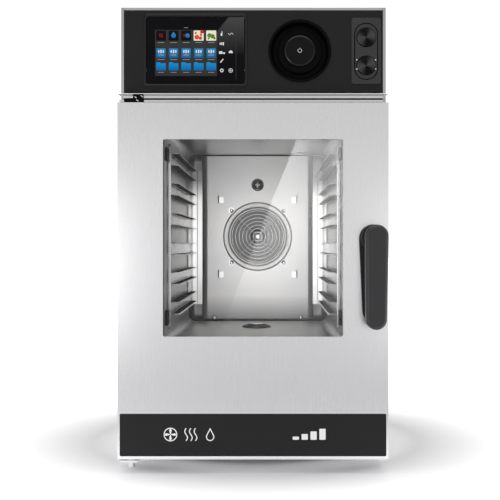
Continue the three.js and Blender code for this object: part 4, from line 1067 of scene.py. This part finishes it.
def lining():
    """The oven lining: round corners all along, and a rounded back."""
    mouth, back = SHELL.y
    inside = grown(SHELL.x, -LINING_SHEET), grown(SHELL.z, -LINING_SHEET)

    def ring(grow, corner=LINING_CORNER):
        return box_outline(grown(inside[0], grow), grown(inside[1], grow), corner + grow, 10)

    def wall(grow, end):
        levels = [(mouth, ring(grow)), (SEAM, ring(grow))]
        for i in range(7):
            turn = math.radians(15 * i)
            draw = LINING_CORNER * (1 - math.cos(turn)) * 0.9
            levels.append((end - LINING_CORNER * (1 - math.sin(turn)), ring(grow - draw)))
        return levels

    shape = stack(wall(0, back - LINING_SHEET)[::-1] + wall(LINING_SHEET, back))
    shape.normal_update()
    # Faces deeper than SEAM take the darker chamber steel as painted shade; upward faces in front of it take
    # the lighter floor steel as painted light.
    for face in shape.faces:
        behind = face.calc_center_median().y > SEAM
        face.material_index = 1 if behind else 2 * int(face.normal.z > 0.7)
    drain, vent = extent("drain_strainer"), extent("chimney_pipe")
    tools = [
        rod(26, (230, 260), (drain.cx, drain.cy), "z", 48),
        rod(18.5, (650, 690), (vent.cx, vent.cy), "z", 48),
        rod(7.5, (290, 330), FAN_CENTRE, "y", 32),
    ]
    piece("oven_lining", [cut(shape, tools)], [LINING, SHADED_CHAMBER, LIT_LINING_FLOOR], "casing", "cavity_steel",
          "cavity_shell", sharp=30)
    # Painted shadow: a dark silicone ring round the lining just in front of SEAM, where the gap behind the
    # baffle lies in shade.
    strip = [ring(-0.1, LINING_CORNER + 0.1), ring(-2.2, LINING_CORNER + 0.2)]
    shadow_seam = plate(strip, (SEAM - 4.6, SEAM - 2), 0.3)
    piece("lining_shadow_seam", [shadow_seam], RUBBER, "casing", "silicone")
    seal = extent("cavity_gasket")
    opening = box_outline(grown(seal.x, -16), grown(seal.z, -16), 8)
    lip = plate([box_outline(seal.x, seal.z, 14), opening], seal.y, 2.8)
    piece("door_seal", [lip], RUBBER, "casing", "silicone", "cavity_gasket")


def baffle():
    """The fan baffle, bent back at its sides, with bent-in tabs beside its slits."""
    face, back = BAFFLE.y
    foot, edge = (BAFFLE_HALF + 7.5, face + 7), BAFFLE.x[1] - 0.6
    half = [(BAFFLE_HALF, face + 0.6), foot, (edge, back)]
    path = [(-x, y) for x, y in half[::-1]] + half
    sheet = plate([folded(path, 3.5, 1.2)], (BAFFLE.z[0] + 2.6, BAFFLE.z[1]), 0.2, "z")
    # Painted shade: the bends that look sideways take a darker matt grey.
    painted(sheet, 2, lambda normal: abs(normal.x) > 0.2)
    through = (face - 2, face + 3)
    tools = [rod(69, through, FAN_CENTRE, sides=96), rod(8.5, through, (0, NOZZLE.cz))]
    tabs = []
    for side in (-1, 1):
        x = side * SLIT[0]
        for height in around(GUARD.cz, SLIT[1]):
            tools.append(block(around(x, 1.5), through, around(height, 10), 0))
            beside = sorted((x - side * 1.5, x - side * 13.5))
            # Painted highlight: the tabs take the lighter tab steel.
            tabs.append(painted(block(beside, (face - 1.2, face + 0.2), (height - 10, height + 6), 0.4), 1))
    tools += [rod(2.3, through, (side * FASTENER[0], FASTENER[1]), "y", 16) for side in (-1, 1)]
    steels = [BAFFLE_STEEL, LIT_TAB_STEEL, BEND_SHADE]
    piece("baffle", [cut(sheet, tools), *tabs], steels, "casing", "cavity_steel", "fan_baffle", sharp=20)
    for side in ("left", "right"):
        fastener(side)


def fastener(side):
    """A quarter-turn fastener: a slotted head on a dark ring, with a key behind the baffle."""
    node = "baffle_knob_" + side
    at = extent(node)
    front, back = at.y
    centre, key = (at.cx, at.cz), BAFFLE.y[0] + 6
    head = past(front, (0, 0), (3.4, 0), (4.1, 0.4), (4.5, 1.2), (4.5, 5.6), (4, 6.1), (2, 6.1))
    head += past(back, (2, 0), (0, 0))
    shapes = [
        lathe(head, centre, sides=40),
        painted(rod(5.6, (front + 3.4, front + 6.2), centre, sides=40, bore=4.4), 1),
        block(around(at.cx, 5.4), (key, key + 3), around(at.cz, 1.4), 0.3),
        painted(block(around(at.cx, 0.5), (front - 0.02, front + 0.3), around(at.cz, 2.8), 0), 1),
    ]
    piece(node + "_turn", shapes, [BRIGHT, COATED], side + "_baffle_knob", "dark_metal", node, sharp=40)


def guard():
    """The fan guard: a pressed ring, rings of wire on four spokes, and four lugs with screws."""
    front, foot = GUARD.y

    def bulged(radius, clearance):
        return front + clearance - GUARD_BULGE * math.cos(radius / 72 * math.pi / 2)

    rim = past(front, (87, 4.4), (86.6, 3.6), (85.8, 3.2), (85, 3.6), (84.2, 4.4), (82, 4.8), (76, 4.8),
               (74.2, 4.3), (73, 3), (72, 2.4), (71, 2.5), (70.3, 3.4))
    rim = [(87, foot), *rim, (70.3, foot)]
    # Painted shadow: a thin black ring where the guard meets the baffle.
    shadow_joint = rod(87.5, (foot - 0.4, foot), FAN_CENTRE, sides=128, bore=86)
    shapes = [painted(lathe(rim, FAN_CENTRE, sides=128), 1), painted(shadow_joint, 2)]
    for radius in range(11, 66, 9):
        ring = [(u, bulged(radius, 2.4), v) for u, v in disc(*FAN_CENTRE, radius, 72)]
        shapes.append(tube(ring, 1.15, closed=True))
    lugs = [math.radians(45 + 90 * i) for i in range(4)]
    for turn in lugs:
        spoke = [(radius * math.cos(turn), bulged(radius, 4.4), GUARD.cz + radius * math.sin(turn))
                 for radius in range(4, 77, 8)]
        shapes.append(tube(spoke, 1.1))
    hub = past(front, (0, 1.2), (5.4, 1.3), (6.4, 2), (6.4, 4), (0, 4))
    shapes.append(lathe(hub, FAN_CENTRE))
    for turn in lugs:
        x, z = LUG_REACH * math.cos(turn), LUG_REACH * math.sin(turn)
        centre = (x, GUARD.cz + z)
        washer = past(foot, (0, -1.2), (6.6, -1.2), (7, -0.7), (7, 0), (0, 0))
        neck = bar_outline((*centre, 5.2), (x * 0.93, GUARD.cz + z * 0.93, 5.0), steps=12)
        shapes += [lathe(washer, centre, sides=32), plate([neck], (foot - 1.2, foot), 0.2)]
        shapes.append(screw(centre, foot - 1.2, 3.6))
    # Painted highlight: the wires, spokes, hub and lugs take the lighter wire steel.
    steels = [LIT_GUARD_WIRE, GUARD_STEEL, BLACK_PARTS_AND_GAP_SHADE]
    piece("guard", shapes, steels, "casing", "bright_steel", "fan_guard", sharp=40)


def wheel():
    """A drum of curved blades between two rings, on a backplate with a hub."""
    front, back = WHEEL.y
    outer, centre, blades = WHEEL.half, (0, WHEEL.cz), 24
    hub = past(front, (8, 4), (14, 4), (15, 6)) + past(back, (20, -2), (8, -2))
    shapes = [
        rod(outer, (front, front + 2), centre, sides=96, bore=outer - 12),
        rod(outer, (back - 2, back), centre, sides=96),
        lathe(hub, centre, sides=48),
    ]
    for i in range(blades):
        path = [(outer - 13 + 3 * step, WHEEL.cz + 10 * math.sin(step * 0.325)) for step in range(5)]
        blade = plate([band(path, 1.0)], (front + 1, back - 1))
        # Painted highlight: the blades take the lighter tab steel against the darker wheel.
        shapes.append(painted(turned(blade, 360 / blades * i, "y", (0, front, WHEEL.cz)), 1))
    piece("wheel", shapes, [SHADED_WHEEL_STEEL, LIT_TAB_STEEL], "fan", "cavity_steel", "fan_wheel")
    dress(BRIGHT, 0.4, "fan_shaft")
    dress(PAINT, 1.0, "fan_motor")


def heater():
    """A round tubular element with two legs through the back wall."""
    at = extent("heating_element")
    radius, depth, back = at.x[1] - 3.5, at.y[0] + 5, at.y[1]
    gap = math.degrees(math.asin(9 / radius))
    ring = [(x, depth, z) for x, z in arc(*FAN_CENTRE, radius, -90 + gap, 270 - gap, 96)]
    legs = [(end[0], end[2]) for end in (ring[0], ring[-1])]
    path = [(legs[0][0], back, legs[0][1]), *ring, (legs[1][0], back, legs[1][1])]
    collars = [rod(4.6, (back - 26, back - 20), leg, sides=24) for leg in legs]
    shapes = [tube(path, 3.4), *collars]
    piece("heater_tube", shapes, ELEMENT, "casing", "dark_metal", "heating_element", sharp=50)


def nozzle():
    """The spray nozzle: a dark polished ball on a collar."""
    centre = (0, NOZZLE.cz)
    front, back = NOZZLE.y
    radius = NOZZLE.x[1] - 1.3
    middle = front + radius
    ball = [(y, middle - x) for x, y in arc(0, 0, radius, 0, 90, 15)]
    stem = past(middle, (radius - 0.6, 1.6), (8, 2)) + past(back, (8, 0), (0, 0))
    collar = past(middle, (radius - 1, -1.5), (radius + 1.2, -1.2), (radius + 1.3, 2.4), (8, 2.6))
    shapes = [lathe(ball + stem, centre), painted(lathe(collar, centre), 1)]
    piece("spray_head", shapes, [BALL, BLACK_PARTS_AND_GAP_SHADE], "casing", "dark_metal", "spray_nozzle", sharp=45)


def strainer():
    """The drain strainer: a slotted dome with a bright edge and cap, over a basket."""
    at = extent("drain_strainer")
    centre, rim, deck = (at.cx, at.cy), at.half, STRAINER_DECK
    floor, top = at.z
    dome = [(rim, deck), (rim, 248), (rim - 1.5, 249.6), (rim - 5, 250.6), (rim - 10, 252.6),
            (rim - 17, 254.6), (rim - 17, top - 2.8), (rim - 10, top - 4.6), (24.4, deck)]
    slots = []
    for i in range(16):
        slot = block((at.cx + 11, at.cx + 27), around(at.cy, 1.3), (249.5, top + 2), 0)
        slots.append(turned(slot, 22.5 * i, "z", (*centre, 0)))
    cap = [(0, top), (rim - 17, 254.6), (rim - 17, 252.8), (0, top - 1.6)]
    core = [(0, deck + 0.2), (22.6, deck + 0.2), (22.6, 248.4), (0, 252)]
    edge = [(rim + 0.1, deck + 0.4), (rim - 1.2, 249.4), (rim - 2.4, 249.2), (rim - 1, deck + 0.2)]
    # Painted shade: the dome is a dark matt grey, and the core seen through its slots is black.
    shapes = [
        cut(lathe(dome, centre, "z"), slots),
        painted(lathe(cap, centre, "z"), 2),
        rod(24.2, (floor, 249), centre, "z", 48, bore=22.8),
        painted(lathe(core, centre, "z", 48), 1),
        painted(lathe(edge, centre, "z"), 2),
    ]
    piece("strainer_dome", shapes, [STRAINER_SHADE, BLACK_PARTS_AND_GAP_SHADE, BRIGHT], "strainer", "bright_steel",
          "drain_strainer", sharp=45)


def rack(side):
    """One side rack: six pressed guides between a front post and a rear stop."""
    node = "rack_" + side
    at = extent(node)
    (front, back), (low, high) = at.y, at.z
    web, wall, wire = RACK_WEB + 0.2, RACK_WALL - 0.8, RACK_WEB + 2.2
    post = folded([(wall, front + 15), (wall, front + 0.9), (web, front + 0.9), (web, front + 5)], 1.4, 1.2)
    # Painted highlight: the front wire and the guides' front tips take the lighter wire steel.
    shapes = [
        plate([post], (low, high), 0.2, "z"),
        painted(tube([(wire, front + 1.6, low + 0.5), (wire, front + 1.6, high - 0.5)], 1.5), 2),
    ]
    for level in range(TRAY_LEVELS):
        z = FIRST_TRAY + TRAY_PITCH * level
        under, over = z - 0.7, z + GUIDE_GAP + 0.7
        guide = folded([(RACK_LIP + 0.2, z - 1.6), (RACK_LIP + 0.6, under), (RACK_WEB - 0.8, under),
                        (RACK_WEB - 0.8, over), (RACK_LIP + 0.6, over)], 2.0, 1.4)
        guide = plate([guide], (front + 3, back - 24), 0.3)
        # Painted shade: the guides' level faces take a dark matt grey, darker on the left rack than on the
        # right.
        shapes.append(painted(guide, 1, lambda normal: abs(normal.z) > 0.8))
        for lip in (under, over):
            tip = block((RACK_LIP + 1, RACK_WEB - 3), (front + 0.4, front + 3.6), around(lip, 1.0), 0.8)
            shapes.append(painted(tip, 2))
        shapes.append(block((RACK_WEB - 1.4, RACK_WEB), (back - 26, back - 2), (z + 3, z + 19), 0.4))
    stop = folded([(RACK_STOP, back - 0.8), (RACK_LIP, back - 2.2), (RACK_LIP + 1.2, back - 1.2),
                   (RACK_LIP + 12, back - 3.6), (wall, back - 1.8), (wall, back - 15)], 0.5, 1.2, 3)
    # The stop's steel darkens towards its top as painted shade.
    shapes.append(painted(plate([stop], (290, 625), 0.2, "z"), 3))
    if side == "left":
        shapes = [mirrored(shape) for shape in shapes]
    piece(node + "_guides", shapes, [RACK_STEEL, RACK_SHADE[side], LIT_GUARD_WIRE, STOP_STEEL], side + "_rack",
          "bright_steel", node, sharp=30)


def catches():
    """Black catches at the mouth that hold the side racks."""
    shapes = []
    for span in ((606, 632), (279, 309)):
        shapes.append(block((169.5, 174.6), (-290, -265), span, 1.6))
        shapes.append(mirrored(block((169.5, 174.6), (-290, -265), span, 1.6)))
    piece("rack_catches", shapes, BLACK_PARTS_AND_GAP_SHADE, "casing", "dark_metal")


def cavity():
    lining()
    baffle()
    guard()
    wheel()
    heater()
    nozzle()
    strainer()
    rack("left")
    rack("right")
    catches()


# -------------------------------------------------------------------------------- rear


def rear():
    drain_elbow()
    supply_gland()
    inlet_valve()
    dress(CHARCOAL_DARK, 0.8, "cooling_fan_housing")
    dress(CHARCOAL, 0.3, "cooling_fan_rotor")


def drain_elbow():
    """A pipe that bends from the drain to the back, with a collar and a lipped mouth."""
    pipe = extent("drain_pipe")
    end, top = pipe.y[1], pipe.z[1]
    bore, wall, start, height = 22.5, 25.0, 74, 120
    bend = bent([(0, start, 232), (0, start, height), (0, end - 1, height)], 40, 12)
    run = [point for point in bend if point.y < end - 12] + [Vector((0, end - 12, height))]
    collar = [(26, 232), (31.4, 232), (32.5, 233.2), (32.5, 243), (31.8, top), (26, top)]
    lip = past(end, (bore, -16), (wall, -16), (wall + 1.4, -14), (wall + 1.4, -11), (wall, -9), (wall, -1.2),
               (wall - 1, 0), (bore, 0))
    shapes = [
        lathe(collar, (0, start), "z"),
        lathe(lip, (0, height)),
        tube(run, wall - 0.4, roundness=10),
        painted(rod(bore, (end - 12.2, end - 11.4), (0, height)), 1),
    ]
    piece("drain_elbow", shapes, [CHARCOAL, COATED], "casing", "grey_plastic", "drain_pipe", sharp=40)


def supply_gland():
    """The cable gland: a hexagon, a ribbed dome nut, and its foot inside the back panel."""
    gland = extent("cable_gland")
    (inside, end), wall = gland.y, BACK.y[1] + 0.3
    centre = (gland.cx, gland.cz)
    dome = past(wall, (6, 6), (11.4, 6), (11.2, 12))
    dome += past(end, (9.4, -1.6), (7.8, -0.3), (6.6, 0), (6, -0.8))
    foot = [(6, inside), (13, inside), (13, 370), (9.2, 370), (9.2, wall + 1), (6, wall + 1)]
    shapes = [
        plate([disc(*centre, 14, 6), disc(*centre, 6.4, 32)], (wall, wall + 7), 0.7),
        lathe(dome, centre),
        lathe(foot, centre),
    ]
    for i in range(18):
        rib = block(around(gland.cx, 0.7), (wall + 7, wall + 15), (gland.cz + 10.2, gland.cz + 11.6), 0.3)
        shapes.append(turned(rib, 20 * i, "y", (gland.cx, 0, gland.cz)))
    piece("supply_gland", shapes, CHARCOAL_DARK, "casing", "black_plastic", "cable_gland", sharp=40)


def inlet_valve():
    """The water valve: a threaded spigot and hexagon outside, body, coil and stub inside."""
    valve = extent("water_inlet_valve")
    x, end = valve.cx, valve.y[1]
    centre = (x, 96)
    thread = []
    for i in range(12):
        thread += [(13, 384 + i * 1.4), (12.2, 384.7 + i * 1.4)]
    coil = [(0, 116), (13, 116), (13, 145.2), (12, valve.z[1]), (0, valve.z[1])]
    shapes = [
        lathe([(9, 362), (13, 362), *thread, (12.6, end), (9, end)], centre),
        plate([disc(*centre, 15.6, 6), disc(*centre, 9.2, 32)], (380.4, 384), 0.5),
        block(around(x, 18), (318, 362), (78, 118), 2),
        painted(lathe(coil, (x, 339), "z"), 1),
        rod(13, (300, 320), centre),
    ]
    piece("inlet_valve", shapes, [BRASS, CHARCOAL_DARK], "casing", "brass", "water_inlet_valve", sharp=40)


# ------------------------------------------------------------------------------- stage

# Metres from here on. The sky's strengths: at the horizon, high up, and behind the oven.
SKY_HORIZON, SKY_HIGH, SKY_BEHIND = 0.9, 0.42, 1.05
OVEN_REACH = 0.38  # the shadow round the oven is told by distance in this unit
CARD_Y = -3.351
DOOR_CARD = [(-0.2363, -0.03), (1.4, -0.03), (1.4, 1.35), (0.3117, 1.35)]
SCREEN_CARD = [(-0.3316, 1.4), (0.1, 1.4), (0.1, 1.66), (-0.123, 1.66)]


def placed(obj):
    bpy.context.scene.collection.objects.link(obj)
    return obj


def softbox(name, place, size, power, aim):
    """An area light at a place that faces a point."""
    light = bpy.data.lights.new(name, "AREA")
    light.shape = "RECTANGLE"
    light.size, light.size_y = size
    light.energy = power
    obj = placed(bpy.data.objects.new(name, light))
    obj.location = place
    obj.rotation_euler = (Vector(aim) - Vector(place)).to_track_quat("-Z", "Y").to_euler()
    obj.visible_camera = False


def camera():
    lens = bpy.data.cameras.new("camera")
    lens.sensor_width = 36
    lens.lens = 71.09
    lens.shift_x = -0.044
    lens.shift_y = -0.01
    obj = placed(bpy.data.objects.new("camera", lens))
    obj.location = (0.0364, -2.2415, 0.4385)
    obj.rotation_euler = (math.radians(90), 0, 0)
    bpy.context.scene.camera = obj


def sky():
    """White behind the oven; in front of it brightest near the horizon."""
    world = bpy.data.worlds.new("studio")
    bpy.context.scene.world = world
    world.use_nodes = True
    nodes = Nodes(world.node_tree, "Generated")
    background = world.node_tree.nodes["Background"]
    front = nodes.remap(nodes.coordinate("Z"), SKY_HORIZON, SKY_HIGH, 0.0, 0.35)
    strength = nodes.remap(nodes.coordinate("Y"), front, SKY_BEHIND, -0.2, 0.35)
    nodes.join(background.inputs["Color"], (1, 1, 1, 1))
    nodes.join(background.inputs["Strength"], strength)


def floor():
    """A pale floor: it runs into the white behind the oven, and is greyer well in front of it.

    It glows more the further it is from the oven, which leaves a soft shadow round the feet.
    """
    finish = Finish("studio_floor", (0.86, 0.86, 0.86), Roughness=0.7, Specular_IOR_Level=0.1)
    depth = finish.coordinate("Y")
    near = finish.remap(depth, 0, 1, -0.8, -0.58)
    far = finish.remap(depth, 1, 0, -2.6, -1.2)
    place = finish.scaled((1 / OVEN_REACH, 1 / OVEN_REACH, 1))
    away = finish.node("VectorMath", {0: place}, operation="LENGTH").outputs["Value"]
    pale = finish.mix(finish.remap(finish.noise(3.0, detail=2.0), 0, 1), grey(0.855), grey(0.865))
    finish.put("Base Color", finish.mix(far, finish.mix(near, grey(0.58), pale), grey(0.95)))
    finish.put("Emission Color", finish.mix(near, grey(0.0), grey(1.0)))
    shine = finish.add(finish.remap(away, 0, 0.5, 0.95, 1.6), finish.remap(depth, 0, 0.56, 0.3, 0.85))
    edge = finish.add(finish.remap(away, 0.012, 0.19, 0.66, 0.76), finish.remap(away, 0, -0.13, 0.84, 0.97))
    finish.put("Emission Strength", finish.add(shine, edge))
    shape = bmesh.new()
    bmesh.ops.create_grid(shape, x_segments=1, y_segments=1, size=30)
    mesh = as_mesh(shape)
    mesh.materials.append(finish.material)
    placed(bpy.data.objects.new("studio_floor", mesh))


def reflected_card(name, corners, strengths, mirrors):
    """A lit card behind the camera that only the given objects mirror.

    The corners are (x, z); the strengths are those at the lowest and the highest of them. The
    card is see-through, so that it hides nothing from the other surfaces.
    """
    material = bpy.data.materials.new(name)
    material.use_nodes = True
    material.node_tree.nodes.clear()
    nodes = Nodes(material.node_tree)
    heights = [z for x, z in corners]
    strength = nodes.remap(nodes.coordinate("Z"), *strengths, min(heights), max(heights))
    light = nodes.node("Emission", {"Strength": strength}).outputs[0]
    both = nodes.node("AddShader", {0: light, 1: nodes.node("BsdfTransparent").outputs[0]}).outputs[0]
    nodes.node("OutputMaterial", {"Surface": both})
    mesh = bpy.data.meshes.new(name)
    mesh.from_pydata([(x, CARD_Y, z) for x, z in corners], [], [range(len(corners))])
    mesh.materials.append(material)
    obj = placed(bpy.data.objects.new(name, mesh))
    obj.visible_camera = False
    obj.visible_diffuse = False
    receivers = bpy.data.collections.new("lit_by_" + name)
    for mirror in mirrors:
        receivers.objects.link(mirror)
    obj.light_linking.receiver_collection = receivers


def studio():
    camera()
    sky()
    floor()
    panes = [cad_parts[node] for node in ("door_outer_glass", "door_inner_glass")]
    reflected_card("door_card", DOOR_CARD, (0.0, 11.4), panes)
    reflected_card("screen_card", SCREEN_CARD, (0.5, 13.0), [bpy.data.objects["touch_screen"]])
    softbox("left_box", (-0.75, -1.0, 0.38), (0.8, 0.4), 2.1, (-0.1, -0.35, 0.38))
    softbox("right_box", (0.66, -1.0, 0.38), (0.8, 0.4), 0.5, (0.1, -0.35, 0.38))
    softbox("overhead", (0, -0.9, 2.6), (2.4, 1.8), 16, (0, -0.3, 0))
    softbox("cavity_front", (0, -0.3, 0.46), (0.26, 0.3), 0.34, (0, 0.25, 0.45))
    bpy.context.scene.view_settings.view_transform = "Standard"


door()
control_panel()
casing()
cavity()
rear()
studio()
